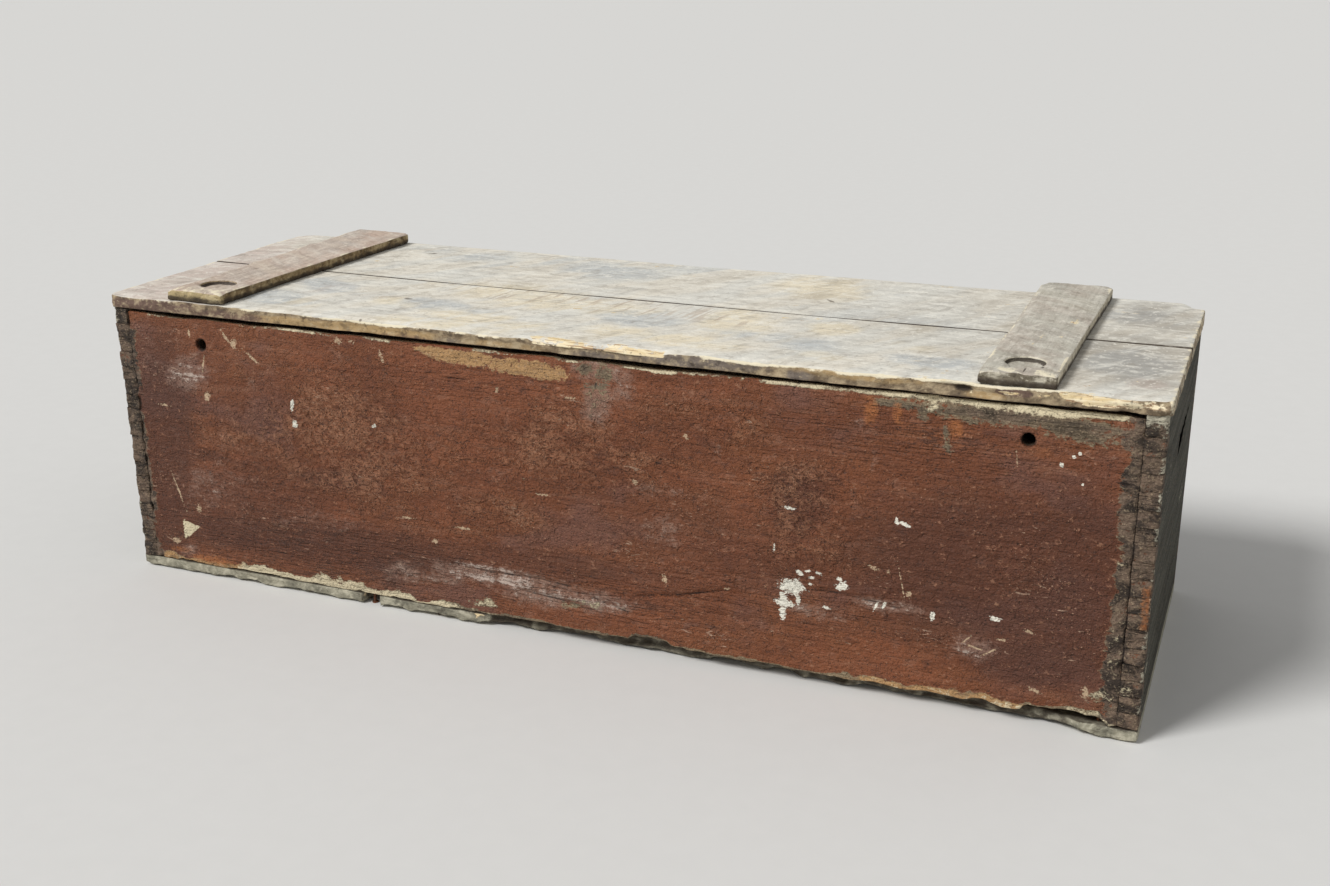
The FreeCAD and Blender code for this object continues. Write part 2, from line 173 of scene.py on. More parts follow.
# Small crisp marks of white paint and bare wood in pixels: middle, half width, half height, tilt in degrees
WHITE_MARKS = [
    (791, 586, 12, 7.5, 6), (783, 597, 3, 5, 0), (785, 603.5, 8.5, 3.8, 14), (782.5, 613, 3.2, 6.5, 4),
    (798, 600, 2.2, 6, 4), (800, 573, 4.8, 2, 35), (807.5, 571, 4.2, 1.5, -6), (811.5, 577.5, 4, 1.3, 10),
    (818.5, 573, 4, 1.4, 25), (810, 584, 2.2, 1.2, 0), (842, 586, 6, 3.4, -4), (840, 579, 2.6, 1.4, 20),
    (826, 607.5, 4, 1.4, 14), (295, 424, 2.5, 4, 0), (292, 405, 1.6, 5, 20), (374, 426, 2.4, 2, 0),
    (789, 508, 7, 1.6, 14), (906, 525, 7, 2, 24), (897, 522, 1.6, 4, 0), (932, 616, 2.5, 4, 20),
    (774, 547, 1.2, 4, 10), (995, 619, 6, 2, 14), (876, 606, 1.6, 5, 30), (884, 605, 1.6, 5, 30),
    (1062, 465, 2.2, 2.2, 0), (1080, 454, 2, 1.6, 0), (1074, 457, 2, 1.6, 0), (1083, 485, 1.6, 1.4, 0),
]
CREAM_MARKS = [
    (226, 338, 1.5, 9, -42), (233, 343, 3, 4, 10), (251, 357, 1.2, 11, -60), (203, 365, 0.9, 9, 20),
    (380, 353, 1.6, 4, 8), (382, 360, 1.8, 3.5, 0), (338, 341, 5, 4, 0), (351, 341, 3, 2, 0),
    (189, 333, 1.3, 3.5, 0), (207, 397, 3, 4.5, 25), (497, 390, 2, 3.6, 20), (570, 398, 6, 1.1, 6),
    (635, 482, 3, 2.6, 0), (665, 579, 3, 4.5, 0), (545, 495, 8, 1.1, 6), (462, 528, 9, 1.1, 8),
    (686, 437, 2, 3.5, -30), (435, 541, 2.6, 2.6, 0), (409, 518, 6, 1.1, 8), (874, 568, 5, 2, 20),
    (888, 572, 2, 2, 0), (909, 595, 3, 3, 0), (902, 585, 0.8, 16, -3), (1002, 640, 6, 1.6, 10),
    (975, 648, 9, 1.1, 20), (966, 640, 6, 1.1, -40), (990, 652, 8, 1.1, -24), (727, 589, 2.6, 1.8, 0),
    (1030, 632, 5, 1.6, 20), (1036, 692, 7, 2, 30), (1085, 694, 4, 6, 10), (178, 488, 0.8, 15, -14),
    (199, 508, 2.4, 4, 0), (177, 540, 5, 3, 0), (165, 405, 5, 1.1, 10), (1017, 461, 1.0, 9, 0),
]

# Routes in pixels: cracks and splits of the front, cracks of the right batten, and the torn lip of the lid
FRONT_CRACKS = [
    [(593, 360), (592, 376), (598, 396)], [(614, 545), (611, 553), (615, 564)],
    [(1113, 472), (1128, 476), (1141, 477)], [(1118, 482), (1141, 490)], [(446, 378), (466, 380)],
    [(930, 424), (937, 414)], [(1128, 497), (1134, 490)],
]
FRONT_SPLITS = [
    [(452, 563), (490, 572), (540, 579), (572, 587)], [(548, 586), (580, 593), (606, 603), (628, 613)],
    [(520, 590), (560, 600), (596, 612)], [(637, 596), (680, 595), (732, 590)],
    [(820, 590), (860, 598), (900, 609)],
]
BATTEN_CRACKS = [[(1008, 365), (1024, 363), (1042, 367)], [(1024, 365), (1020, 376)]]
LID_TORN = [(532, 338), (560, 341), (600, 345), (640, 349), (661, 352)]
BATTEN_CRACK_HALF = 2.2
TORN_HALF = 6.5

# Bare stretches of the front's lower edge: start, full from, full to and end in pixels across,
# height in metres, and how golden and how pale they are
LOWER_BANDS = [
    (150, 170, 232, 256, 0.0034, 0.8, 0.4), (232, 256, 436, 470, 0.0048, 0.2, 1.0),
    (800, 880, 1012, 1036, 0.0036, 0.8, 0.5), (1060, 1075, 1100, 1115, 0.0030, 0.3, 0.7),
]

# Bare triangle at the lower left and notch in the top edge, in pixels
BARE_TRIANGLE = [(184, 520), (199.5, 527), (186.5, 538)]
TRIANGLE_BLUR = 1.5
NOTCH_ACROSS = 933
NOTCH_FLAT = 2
NOTCH_HALF = 8

# Soft patches of the lid's top and front edge, and small dark marks of its top, in pixels as above
LID_WARM = [
    (560, 300, 100, 12, 7, 0.9), (480, 318, 70, 7, 6, 0.8), (830, 288, 60, 12, 6, 0.9),
    (730, 318, 40, 12, 6, 0.8), (835, 328, 26, 7, 6, 0.9), (820, 354, 30, 5, 6, 0.9),
    (300, 300, 40, 6, 10, 0.5), (680, 340, 60, 6, 6, 0.7), (430, 322, 60, 5, 6, 0.9),
    (620, 330, 40, 6, 6, 0.6), (905, 345, 30, 5, 6, 0.5), (390, 300, 30, 6, 10, 0.6),
]
LID_COOL = [
    (270, 296, 36, 7, 10, 0.9), (445, 305, 46, 7, 8, 0.9), (600, 268, 60, 8, 6, 0.7),
    (640, 318, 40, 8, 6, 0.9), (730, 330, 32, 6, 6, 1.0), (790, 340, 46, 8, 6, 0.9),
    (930, 360, 42, 6, 6, 1.0), (900, 320, 90, 12, 6, 0.6), (480, 258, 60, 7, 6, 0.6),
    (1130, 365, 46, 14, 6, 0.9), (1140, 318, 36, 10, 6, 0.7), (700, 268, 60, 6, 6, 0.5),
    (330, 285, 30, 6, 10, 0.8),
]
LID_PINK = [
    (220, 262, 100, 26, -16, 1.0), (160, 292, 60, 10, 6, 1.0), (1148, 384, 22, 6, 6, 0.9),
    (350, 290, 50, 8, 6, 0.3),
]
LID_SHADE = [
    (1130, 360, 70, 30, 6, 1.2), (1160, 320, 50, 16, 6, 1.2), (1095, 385, 16, 10, 6, 0.5),
    (990, 370, 14, 10, 6, 0.5), (980, 325, 190, 40, 6, 0.55),
]
LID_SAWN = [
    (505, 292, 60, 8, 6, 1.0), (560, 300, 60, 9, 6, 1.0), (640, 306, 40, 8, 6, 1.0),
    (720, 316, 50, 9, 6, 0.8),
]
LID_YELLOW = [
    (1115, 404, 60, 8, 7, 1.1), (1000, 391, 24, 3, 8, 0.6), (1196, 330, 7, 10, 0, 0.6),
    (116, 297, 6, 8, 0, 0.5),
]
EDGE_WARM = [
    (370, 331, 70, 8, 6, 1.0), (290, 322, 40, 6, 6, 0.9), (860, 374, 70, 7, 7, 0.8),
    (500, 346, 50, 6, 6, 0.6), (985, 396, 20, 5, 7, 0.9), (245, 318, 20, 5, 6, 0.6),
]
EDGE_COOL = [
    (700, 361, 64, 9, 6, 1.0), (600, 356, 40, 5, 6, 0.6), (798, 375, 14, 7, 6, 1.0),
    (445, 342, 20, 6, 6, 0.7),
]
EDGE_PINK = [
    (150, 306, 44, 10, 6, 1.0), (225, 317, 40, 7, 6, 0.8), (1012, 392, 24, 5, 7, 1.0),
    (400, 338, 30, 4, 6, 0.5),
]
# Cavity in the lid's front edge, dented in and painted dark as the shade inside it
LID_CAVITY = [(962, 389, 10, 4, 8, 1.0), (945, 385, 12, 2, 10, 0.5)]
LID_MARKS = [
    (408, 298, 4, 0.9, 8), (433, 253, 5, 0.8, -6), (831, 300, 4, 0.7, 30), (360, 318, 2, 1, 0),
]


def hashed(cells, seed):
    """Repeatable random number from -1 to 1 for each whole-number cell."""
    mixed = cells[:, 0] * 73856093 ^ cells[:, 1] * 19349663 ^ cells[:, 2] * 83492791 ^ seed * 40503
    mixed = (mixed ^ mixed >> 13) & 0xFFFFFFFF
    mixed = mixed * 1274126177 & 0xFFFFFFFF
    mixed = (mixed ^ mixed >> 16) & 0xFFFFFF
    return mixed / 0x7FFFFF - 1.0


def noise(points, cell, seed):
    """Smooth random field from -1 to 1, with features about one cell wide along each axis."""
    scaled = points / cell
    corner = np.floor(scaled).astype(np.int64)
    part = scaled - corner
    part = part * part * part * (part * (part * 6 - 15) + 10)
    total = np.zeros(len(points))
    for step in np.ndindex(2, 2, 2):
        share = np.prod(np.where(step, part, 1 - part), axis=1)
        total += share * hashed(corner + np.array(step), seed)
    return total


def rough(points, field, seed=0):
    """Sum of a random field's octaves, each half as wide and half as strong as the one before."""
    cell, draw, octaves = field
    total = np.zeros(len(points))
    for octave in range(octaves):
        total += noise(points, np.asarray(cell) / 2**octave, seed + draw + octave) / 2**octave
    return total


def ease(value, start, end):
    """Smooth step from 0 at start to 1 at end."""
    share = np.clip((value - start) / (end - start), 0, 1)
    return share * share * (3 - 2 * share)


def near(value, level, full, gone):
    """1 within full of a level, falling to 0 at gone from it."""
    return 1 - ease(np.abs(value - level), full, gone)


def stretch(value, start, full, last, end):
    """Rises from 0 at start to 1 at full, and falls from last to 0 at end."""
    return ease(value, start, full) * (1 - ease(value, last, end))


def strongest(*parts):
    """The largest of several values at each point."""
    return np.max(np.broadcast_arrays(*parts), axis=0)


def seen(points):
    """Pixel of the photograph at which each point lies."""
    away = points - np.array(CAMERA_PLACE)
    depth = away @ np.array(CAMERA_AHEAD)
    across = PHOTO_WIDTH / 2 + FOCAL_PIXELS * (away @ np.array(CAMERA_RIGHT)) / depth
    down = PHOTO_HEIGHT / 2 - FOCAL_PIXELS * (away @ np.array(CAMERA_UP)) / depth
    return across, down


def place_on(across, down, axis, level):
    """Where the line of sight through a pixel meets the plane at that level of an axis."""
    ray = CAMERA_AHEAD + CAMERA_RIGHT * ((across - PHOTO_WIDTH / 2) / FOCAL_PIXELS)
    ray = ray - CAMERA_UP * ((down - PHOTO_HEIGHT / 2) / FOCAL_PIXELS)
    return CAMERA_PLACE + ray * ((level - CAMERA_PLACE[axis]) / ray[axis])


def lines(low, high, step, knots):
    """Lattice places from low to high, closer together beside both ends and each knot."""
    marks = {round(low, 6), round(high, 6)}
    for knot in (low, high, *knots):
        for offset in (0, *EDGE_OFFSETS):
            marks |= {round(p, 6) for p in (knot - offset, knot + offset) if low <= p <= high}
    ordered = sorted(marks)
    placed = []
    for start, end in zip(ordered, ordered[1:]):
        count = max(1, round((end - start) / step))
        placed.extend(np.linspace(start, end, count, endpoint=False))
    placed.append(ordered[-1])
    return np.array(placed)


class Board:
    """Closed skin of quads round the solid cells of a lattice."""

    def __init__(self, low, high, steps, knots=((), (), ()), empty=None):
        xs, ys, zs = [lines(*row) for row in zip(low, high, steps, knots)]
        centres = np.meshgrid(*[(a[1:] + a[:-1]) / 2 for a in (xs, ys, zs)], indexing="ij")
        solid = np.ones(centres[0].shape, bool)
        if empty is not None:
            solid &= ~empty(*centres)
        shape = tuple(n + 1 for n in solid.shape)
        index = np.arange(np.prod(shape)).reshape(shape)
        quads, axes = [], []
        for axis in range(3):
            cells = np.moveaxis(np.pad(solid, 1), axis, 0)
            before, after = cells[:-1, 1:-1, 1:-1], cells[1:, 1:-1, 1:-1]
            at = np.moveaxis(index, axis, 0)
            corners = np.stack([at[:, :-1, :-1], at[:, 1:, :-1], at[:, 1:, 1:], at[:, :-1, 1:]], -1)
            outward, inward = corners[before & ~after], corners[after & ~before]
            if axis == 1:
                outward, inward = inward, outward
            quads += [outward, inward[:, ::-1]]
            axes += [axis] * (len(outward) + len(inward))
        used, places = np.unique(np.concatenate(quads), return_inverse=True)
        self.quads = places.reshape(-1, 4)
        i, j, k = np.unravel_index(used, shape)
        self.points = np.stack([xs[i], ys[j], zs[k]], 1)
        self.home = self.points.copy()
        self.low, self.high = self.home.min(0), self.home.max(0)
        self.faces_along = np.zeros((len(used), 3), bool)
        self.faces_along[self.quads.ravel(), np.repeat(axes, 4)] = True
        self.starts = self.quads.ravel()
        self.ends = np.roll(self.quads, -1, axis=1).ravel()

    def around(self, values):
        """Mean of each point's neighbours."""
        count = len(self.points)
        links = np.bincount(self.starts, minlength=count)
        return np.bincount(self.starts, values[self.ends], count) / links

    def round_edges(self, wear, sway, field, seed=0, crisp=False, rounds=3):
        """Rounds the edges off by wear give or take sway, and less where they are crisp."""
        amount = np.where(crisp, CRISP_WEAR, wear + sway * rough(self.home, field, seed))
        sharp = (self.faces_along.sum(1) > 1).astype(float)
        weight = np.clip(np.maximum(sharp, self.around(sharp)) * amount, 0, 0.9)
        for _ in range(rounds):
            middle = np.stack([self.around(self.points[:, c]) for c in range(3)], 1)
            self.points += weight[:, None] * (middle - self.points)

    def normals(self):
        """Outward direction at each point."""
        corners = self.points[self.quads]
        across = np.cross(corners[:, 2] - corners[:, 0], corners[:, 3] - corners[:, 1])
        total = np.stack([np.bincount(self.starts, np.repeat(across[:, c], 4)) for c in range(3)], 1)
        return total / np.linalg.norm(total, axis=1, keepdims=True).clip(1e-12)

    def push(self, amount):
        """Moves each point outward along its normal."""
        self.points += self.normals() * amount[:, None]

    def zeros(self, *names):
        """A value of 0 on every point for each name."""
        return {name: np.zeros(len(self.points)) for name in names}

    def round_corners(self, y, radius):
        """Bends the square upright corners at both ends of x to quarter circles."""
        for x in (self.low[0], self.high[0]):
            self.round_corner(x, y, radius)

    def round_corner(self, x, y, radius):
        """Bends the square upright corner at x, y to a quarter circle."""
        outward = np.sign(np.array([x, y]) - (self.low + self.high)[:2] / 2)
        centre = np.array([x, y]) - outward * radius
        away = self.points[:, :2] - centre
        inside = (away * outward > 0).all(1) & (np.abs(away) <= radius * 1.001).all(1)
        reach = np.linalg.norm(away, axis=1).clip(1e-9)
        share = np.abs(away).max(1) / reach
        self.points[inside, :2] = centre + (away * share[:, None])[inside]

    def snap_round(self, axis_a, axis_b, centre, radius, reach):
        """Moves the stepped rim of a round cut onto its circle."""
        away = self.points[:, [axis_a, axis_b]] - np.array(centre)
        far = np.linalg.norm(away, axis=1)
        sides = self.faces_along[:, axis_a] | self.faces_along[:, axis_b]
        rim = (np.abs(far - radius) < reach) & sides
        moved = np.array(centre) + away / far.clip(1e-9)[:, None] * radius
        self.points[np.ix_(rim, [axis_a, axis_b])] = moved[rim]


def spots(across, down, table):
    """Strongest of several soft tilted ovals."""
    total = np.zeros(len(across))
    for middle_a, middle_b, half_a, half_b, tilt, strength in table:
        turn = math.radians(tilt)
        a = (across - middle_a) * math.cos(turn) + (down - middle_b) * math.sin(turn)
        b = (down - middle_b) * math.cos(turn) - (across - middle_a) * math.sin(turn)
        far = np.hypot(a / half_a, b / half_b)
        total = np.maximum(total, strength * (1 - ease(far, 0.3, 1.7)))
    return total


def trench(across, up, routes, half_width):
    """1 on lines through the points of each route, falling to 0 at half_width from them."""
    nearest = np.full(len(across), np.inf)
    for route in routes:
        for (a0, b0), (a1, b1) in zip(route, route[1:]):
            along_a, along_b = a1 - a0, b1 - b0
            share = ((across - a0) * along_a + (up - b0) * along_b) / (along_a**2 + along_b**2)
            share = np.clip(share, 0, 1)
            far = np.hypot(across - a0 - share * along_a, up - b0 - share * along_b)
            nearest = np.minimum(nearest, far)
    return 1 - ease(nearest, 0, half_width)


class Shader:
    """One node material, built by short calls that each return an output socket."""

    def __init__(self, name):
        self.material = bpy.data.materials.new(name)
        self.material.use_nodes = True
        self.tree = self.material.node_tree
        self.surface = self.tree.nodes["Principled BSDF"]
        self.place = self.node("ShaderNodeTexCoord").outputs["Object"]

    def node(self, kind, inputs=None, **settings):
        """A new node, with its settings and inputs filled in."""
        made = self.tree.nodes.new(kind)
        for key, value in settings.items():
            setattr(made, key, value)
        for key, value in (inputs or {}).items():
            self.put(made.inputs[key], value)
        return made

    def put(self, socket, value):
        """Links an output to a socket, or sets a constant on it."""
        if isinstance(value, bpy.types.NodeSocket):
            self.tree.links.new(value, socket)
        else:
            socket.default_value = value

    def mapped(self, scale, shift=0.0, turn=NO_TURN, source=None):
        """Places turned, then scaled and shifted."""
        turned = self.node("ShaderNodeMapping", {"Vector": source or self.place, "Rotation": turn})
        inputs = {"Vector": turned.outputs[0], "Scale": scale, "Location": (shift, shift * 0.7, shift * 1.3)}
        return self.node("ShaderNodeMapping", inputs).outputs[0]

    def noise(self, scale, shift=0.0, detail=3.0, roughness=0.55, distortion=0.0, turn=NO_TURN, source=None):
        """A random field from 0 to 1, its scale in repeats per metre along x, y and z."""
        inputs = {
            "Vector": self.mapped(scale, shift, turn, source), "Scale": 1.0, "Detail": detail,
            "Roughness": roughness, "Distortion": distortion,
        }
        return self.node("ShaderNodeTexNoise", inputs).outputs["Fac"]

    def fields(self, table, shift, along):
        """The random fields of a table by name, some of them along the grain."""
        made = {}
        for name, (scale, offset, detail, roughness, distortion, way) in table.items():
            turn, grained = WAYS[way]
            source = along if grained else None
            made[name] = self.noise(scale, shift + offset, detail, roughness, distortion, turn, source)
        return made

    def math(self, kind, first, second=0.0, third=0.0):
        """One sum."""
        return self.node("ShaderNodeMath", {0: first, 1: second, 2: third}, operation=kind).outputs[0]

    def plus(self, *parts):
        """The sum of several values."""
        total = parts[0]
        for part in parts[1:]:
            total = self.math("ADD", total, part)
        return total

    def times(self, first, second):
        """The product of two values."""
        return self.math("MULTIPLY", first, second)

    def sway(self, value, fields, sways):
        """Moves a value up and down with random fields, each by its own strength."""
        for name, strength in sways.items():
            value = self.math("MULTIPLY_ADD", fields[name], strength, value)
        return self.math("SUBTRACT", value, sum(sways.values()) / 2)

    def ridged(self, value):
        """1 along the lines where a 0 to 1 value crosses its middle, falling away on both sides."""
        off = self.math("ABSOLUTE", self.math("MULTIPLY_ADD", value, 4.0, -2.0))
        return self.math("SUBTRACT", 1.0, off)

    def step(self, value, start, end):
        """Smooth step from 0 at start to 1 at end."""
        inputs = {"Value": value, "From Min": start, "From Max": end}
        return self.node("ShaderNodeMapRange", inputs, interpolation_type="SMOOTHSTEP").outputs[0]

    def mix(self, share, first, second):
        """A colour between two others."""
        made = self.node("ShaderNodeMix", data_type="RGBA")
        for number, value in ((0, share), (6, first), (7, second)):
            self.put(made.inputs[number], value)
        return made.outputs[2]

    def layers(self, colour, fields, rows, shades):
        """Lays colours over one another, each row a field, its start and end, a strength and a shade."""
        for field, start, end, strength, shade in rows:
            share = self.step(fields[field], start, end)
            if strength < 1:
                share = self.times(share, strength)
            shade = shades.get(shade, shade)
            colour = self.mix(share, colour, tint(*shade) if isinstance(shade, tuple) else shade)
        return colour

    def painted(self, name):
        """A value stored on the mesh's points."""
        return self.node("ShaderNodeAttribute", attribute_name=name).outputs["Fac"]

    def covers(self, fields, table):
        """Adds the painted values of a table to the fields, each swayed by the random fields in its row."""
        for name, (value, sways) in table.items():
            fields[name] = self.sway(self.painted(value), fields, sways)

    def marks(self, rows, axis, level):
        """Distance from the nearest of several small ovals given in pixels, in units of their half size."""
        nearest = None
        for across, down, half_a, half_b, tilt in rows:
            cosine, sine = math.cos(math.radians(tilt)), math.sin(math.radians(tilt))
            middle = place_on(across, down, axis, level)
            reach_a = place_on(across + cosine * half_a, down + sine * half_a, axis, level) - middle
            reach_b = place_on(across - sine * half_b, down + cosine * half_b, axis, level) - middle
            other = 2 if axis == 1 else 1
            angle = math.atan2(reach_a[other], reach_a.x)
            size = Vector((reach_a.length, reach_b.length, reach_b.length))
            size[axis] = MARK_DEPTH
            turned = (0, -angle, 0) if axis == 1 else (0, 0, angle)
            inputs = {"Vector": self.place, "Location": middle, "Rotation": turned, "Scale": size}
            mapped = self.node("ShaderNodeMapping", inputs, vector_type="TEXTURE").outputs[0]
            far = self.node("ShaderNodeVectorMath", {0: mapped}, operation="LENGTH").outputs["Value"]
            nearest = far if nearest is None else self.math("MINIMUM", nearest, far)
        return nearest

    def finish(self, colour, roughness, gloss, *bumps):
        """Sets the surface; each bump is a height and its depth in metres."""
        self.put(self.surface.inputs["Base Color"], colour)
        self.put(self.surface.inputs["Roughness"], roughness)
        self.put(self.surface.inputs["Specular IOR Level"], gloss)
        normal = None
        for height, depth in bumps:
            made = self.node("ShaderNodeBump", {"Height": height, "Distance": depth, "Strength": 1.0})
            if normal is not None:
                self.put(made.inputs["Normal"], normal)
            normal = made.outputs[0]
        if normal is not None:
            self.put(self.surface.inputs["Normal"], normal)
        return self.material


def tint(red, green, blue):
    """Linear colour from screen values of 0 to 255."""
    shares = [c / 255 for c in (red, green, blue)]
    return (*[s / 12.92 if s <= 0.04045 else ((s + 0.055) / 1.055) ** 2.4 for s in shares], 1.0)


# Turns about the upright axis: the grain of boards that run along y, and how the lid was wiped and sawn
GRAIN_TURNS = {"x": NO_TURN, "y": (0, 0, math.radians(-90))}
WIPED_TURN = (0, 0, math.radians(-57))
SAWN_TURN = (0, 0, math.radians(8.6))

# Ways in which a random field of a material lies: its turn, and whether it follows the grain
WAYS = {
    "plain": (NO_TURN, False),
    "grain": (NO_TURN, True),
    "wiped": (WIPED_TURN, True),
    "sawn": (SAWN_TURN, False),
}

# Random fields of the materials: repeats per metre, shift, detail, roughness, distortion, way
PAINT_NOISE = {
    "broad": ((4, 4, 7), 3, 4.0, 0.6, 0.0, "plain"),
    "cloud": ((14, 14, 24), 5, 5.0, 0.62, 0.5, "plain"),
    "patch": ((48, 48, 70), 7, 4.0, 0.62, 0.5, "plain"),
    "streak": ((9, 110, 140), 8, 4.0, 0.6, 0.0, "grain"),
    "fleck": ((170, 170, 230), 13, 4.0, 0.68, 0.0, "plain"),
    "grit": ((460, 460, 520), 17, 2.0, 0.6, 0.0, "plain"),
    "dash": ((70, 70, 330), 29, 2.0, 0.5, 0.8, "plain"),
    "crinkle": ((110, 110, 150), 19, 3.0, 0.6, 0.7, "plain"),
    "combed": ((24, 24, 230), 23, 2.0, 0.5, 0.4, "plain"),
    "fibre": ((14, 520, 520), 0, 3.0, 0.6, 0.0, "grain"),
}
LID_NOISE = {
    "broad": ((4, 8, 8), 11, 3.0, 0.5, 0.0, "grain"),
    "cloud": ((8, 24, 24), 15, 2.5, 0.5, 0.3, "wiped"),
    "patch": ((24, 80, 80), 19, 4.0, 0.6, 0.4, "wiped"),
    "streak": ((13, 75, 75), 23, 4.0, 0.6, 0.4, "grain"),
    "fleck": ((55, 95, 95), 31, 4.0, 0.65, 0.3, "grain"),
    "grit": ((210, 190, 260), 37, 3.0, 0.65, 0.0, "grain"),
    "fibre": ((14, 520, 520), 0, 3.0, 0.6, 0.0, "grain"),
    "sawn": ((150, 13, 13), 41, 2.0, 0.5, 0.0, "sawn"),
}
RING_NOISE = {
    "sway": ((1.6, 5, 5), 0, 2.0, 0.5, 0.0, "grain"),
    "lift": ((2.2, 3, 3), 4, 2.0, 0.55, 0.0, "grain"),
}
IRON_NOISE = {
    "cloud": ((90, 90, 90), 0, 5.0, 0.65, 0.0, "plain"),
    "pits": ((600, 600, 600), 3, 3.0, 0.6, 0.0, "plain"),
}
MARK_NOISE = {"smudge": ((200, 200, 200), 3, 3.0, 0.55, 0.0, "plain")}
RING_GAP = 0.006
RING_SWAY = 0.09
RING_LIFT = 0.05

# Values painted on the points, each with the random fields that sway it and how far
RAGGED = {"patch": 1.2, "fleck": 1.5, "grit": 0.7}
HALF_RAGGED = {"patch": 0.6, "fleck": 0.75, "grit": 0.35}
CREAM_SWAY = {"patch": 1.2, "fleck": 2.5, "grit": 3.3}
WHITE_SWAY = {"patch": 1.42, "fleck": 1.5, "grit": 1.98}
PAINT_COVERS = {
    "deep": ("deep", {"cloud": 0.8}),
    "haze": ("haze", dict(RAGGED, cloud=0.8)),
    "scuffed": ("haze", dict(RAGGED, cloud=0.8, streak=2.0)),
    "golden": ("golden", {"streak": 1.0, "patch": 1.2}),
    "weathered": ("weathered", {}),
    "pale": ("pale", dict(RAGGED, streak=1.0)),
    "bare": ("bare", dict(RAGGED, streak=1.0)),
    "orange": ("orange", dict(RAGGED, streak=0.8)),
    "grime_and_shade": ("grime_and_shade", HALF_RAGGED),
    "hole": ("grime_and_shade", {}),
}
LID_COVERS = {
    "cool": ("cool", {"broad": 1.2, "cloud": 1.6, "patch": 0.7}),
    "warm": ("warm", {"broad": -1.2, "cloud": -1.6, "patch": -0.7}),
    "pink": ("pink", {"cloud": 1.2, "patch": -1.2}),
    "shade": ("shade", {"cloud": -1.0}),
    "edge_cool": ("cool", {"patch": 1.2}),
    "edge_warm": ("warm", {"patch": 1.2}),
    "edge_pink": ("pink", {"patch": 1.2}),
    "brown": ("brown", {"patch": 0.72, "fleck": 0.9, "grit": 0.42}),
    "lip": ("lip", RAGGED),
    "yellow": ("yellow", dict(RAGGED, streak=2.0)),
    "grime_and_shade": ("grime_and_shade", HALF_RAGGED),
}

# Layers of the materials: field, its start and end, strength, and a screen colour or the name of a shade
PAINT_BASE = (115, 65, 37)
PAINT_LAYERS = [
    ("cloud", 0.38, 0.62, 1.0, (128, 76, 45)),
    ("broad", 0.50, 0.60, 0.60, (136, 79, 48)), ("broad", 0.47, 0.38, 0.65, (114, 78, 66)),
    ("patch", 0.55, 0.70, 0.58, (100, 59, 41)), ("patch", 0.45, 0.30, 0.52, (142, 99, 77)),
    ("streak", 0.54, 0.66, 0.26, (94, 54, 36)), ("streak", 0.44, 0.32, 0.24, (144, 103, 80)),
    ("deep", 0.1, 1.0, 0.70, (76, 42, 28)),
    # The light and dark relief rows, the light and dark fleck rows, the speck row and the dark grit row are
    # partly painted highlights and shade of the paint's wrinkles and fine relief, and partly its own speckle
    ("relief", 0.60, 0.98, 0.60, (164, 114, 84)), ("relief", 0.15, -0.4, 0.60, (74, 41, 24)),
    ("fleck", 0.59, 0.70, 0.65, (166, 120, 93)), ("fleck", 0.41, 0.30, 0.75, (68, 38, 23)),
    ("speck", 0.68, 0.75, 0.85, (176, 138, 112)), ("grit", 0.39, 0.31, 0.90, (52, 28, 17)),
    ("furrow", 0.66, 0.92, 0.65, (66, 37, 24)), ("dash", 0.74, 0.80, 0.75, (186, 154, 130)),
    ("haze", 0.4, 1.3, 0.75, (152, 124, 109)), ("scuffed", 1.0, 1.4, 0.8, (202, 184, 171)),
]
CORNER_BASE = (116, 97, 81)
CORNER_LAYERS = [("patch", 0.41, 0.59, 1.0, (52, 43, 35))]
WOOD_LAYERS = [
    ("streak", 0.4, 0.6, 1.0, "dark"), ("golden", 0.3, 0.7, 1.0, (182, 142, 96)),
    ("weathered", 0.3, 0.7, 1.0, "corner"), ("fibre", 0.5, 0.7, 0.4, "line"),
    ("fleck", 0.55, 0.70, 0.50, (158, 138, 112)), ("fleck", 0.45, 0.30, 0.50, (72, 58, 48)),
    ("grit", 0.56, 0.70, 0.45, (174, 154, 126)), ("grit", 0.44, 0.30, 0.45, (62, 50, 42)),
    ("pale", 0.45, 0.85, 0.9, "pale"),
]
# The dark row after the orange one on the surface is dirt in joints and cracks and the darkened feet,
# together with painted shade in holes and under the lid's edge
SURFACE_LAYERS = [
    ("bare", 0.35, 0.65, 0.5, (134, 92, 66)), ("bare", 0.55, 0.7, 1.0, "wood"),
    ("orange", 0.4, 1.2, 0.75, (172, 106, 58)), ("grime_and_shade", 0.45, 0.9, 0.9, (34, 27, 24)),
    # Painted shade, near black, inside the deepest crack where the dark value passes 1
    ("hole", 1.0, 1.3, 1.0, (6, 5, 5)),
]
MARK_LAYERS = [("cream", 1.05, 0.5, 0.85, (200, 174, 142)), ("white", 1.1, 0.8, 0.95, (242, 238, 222))]
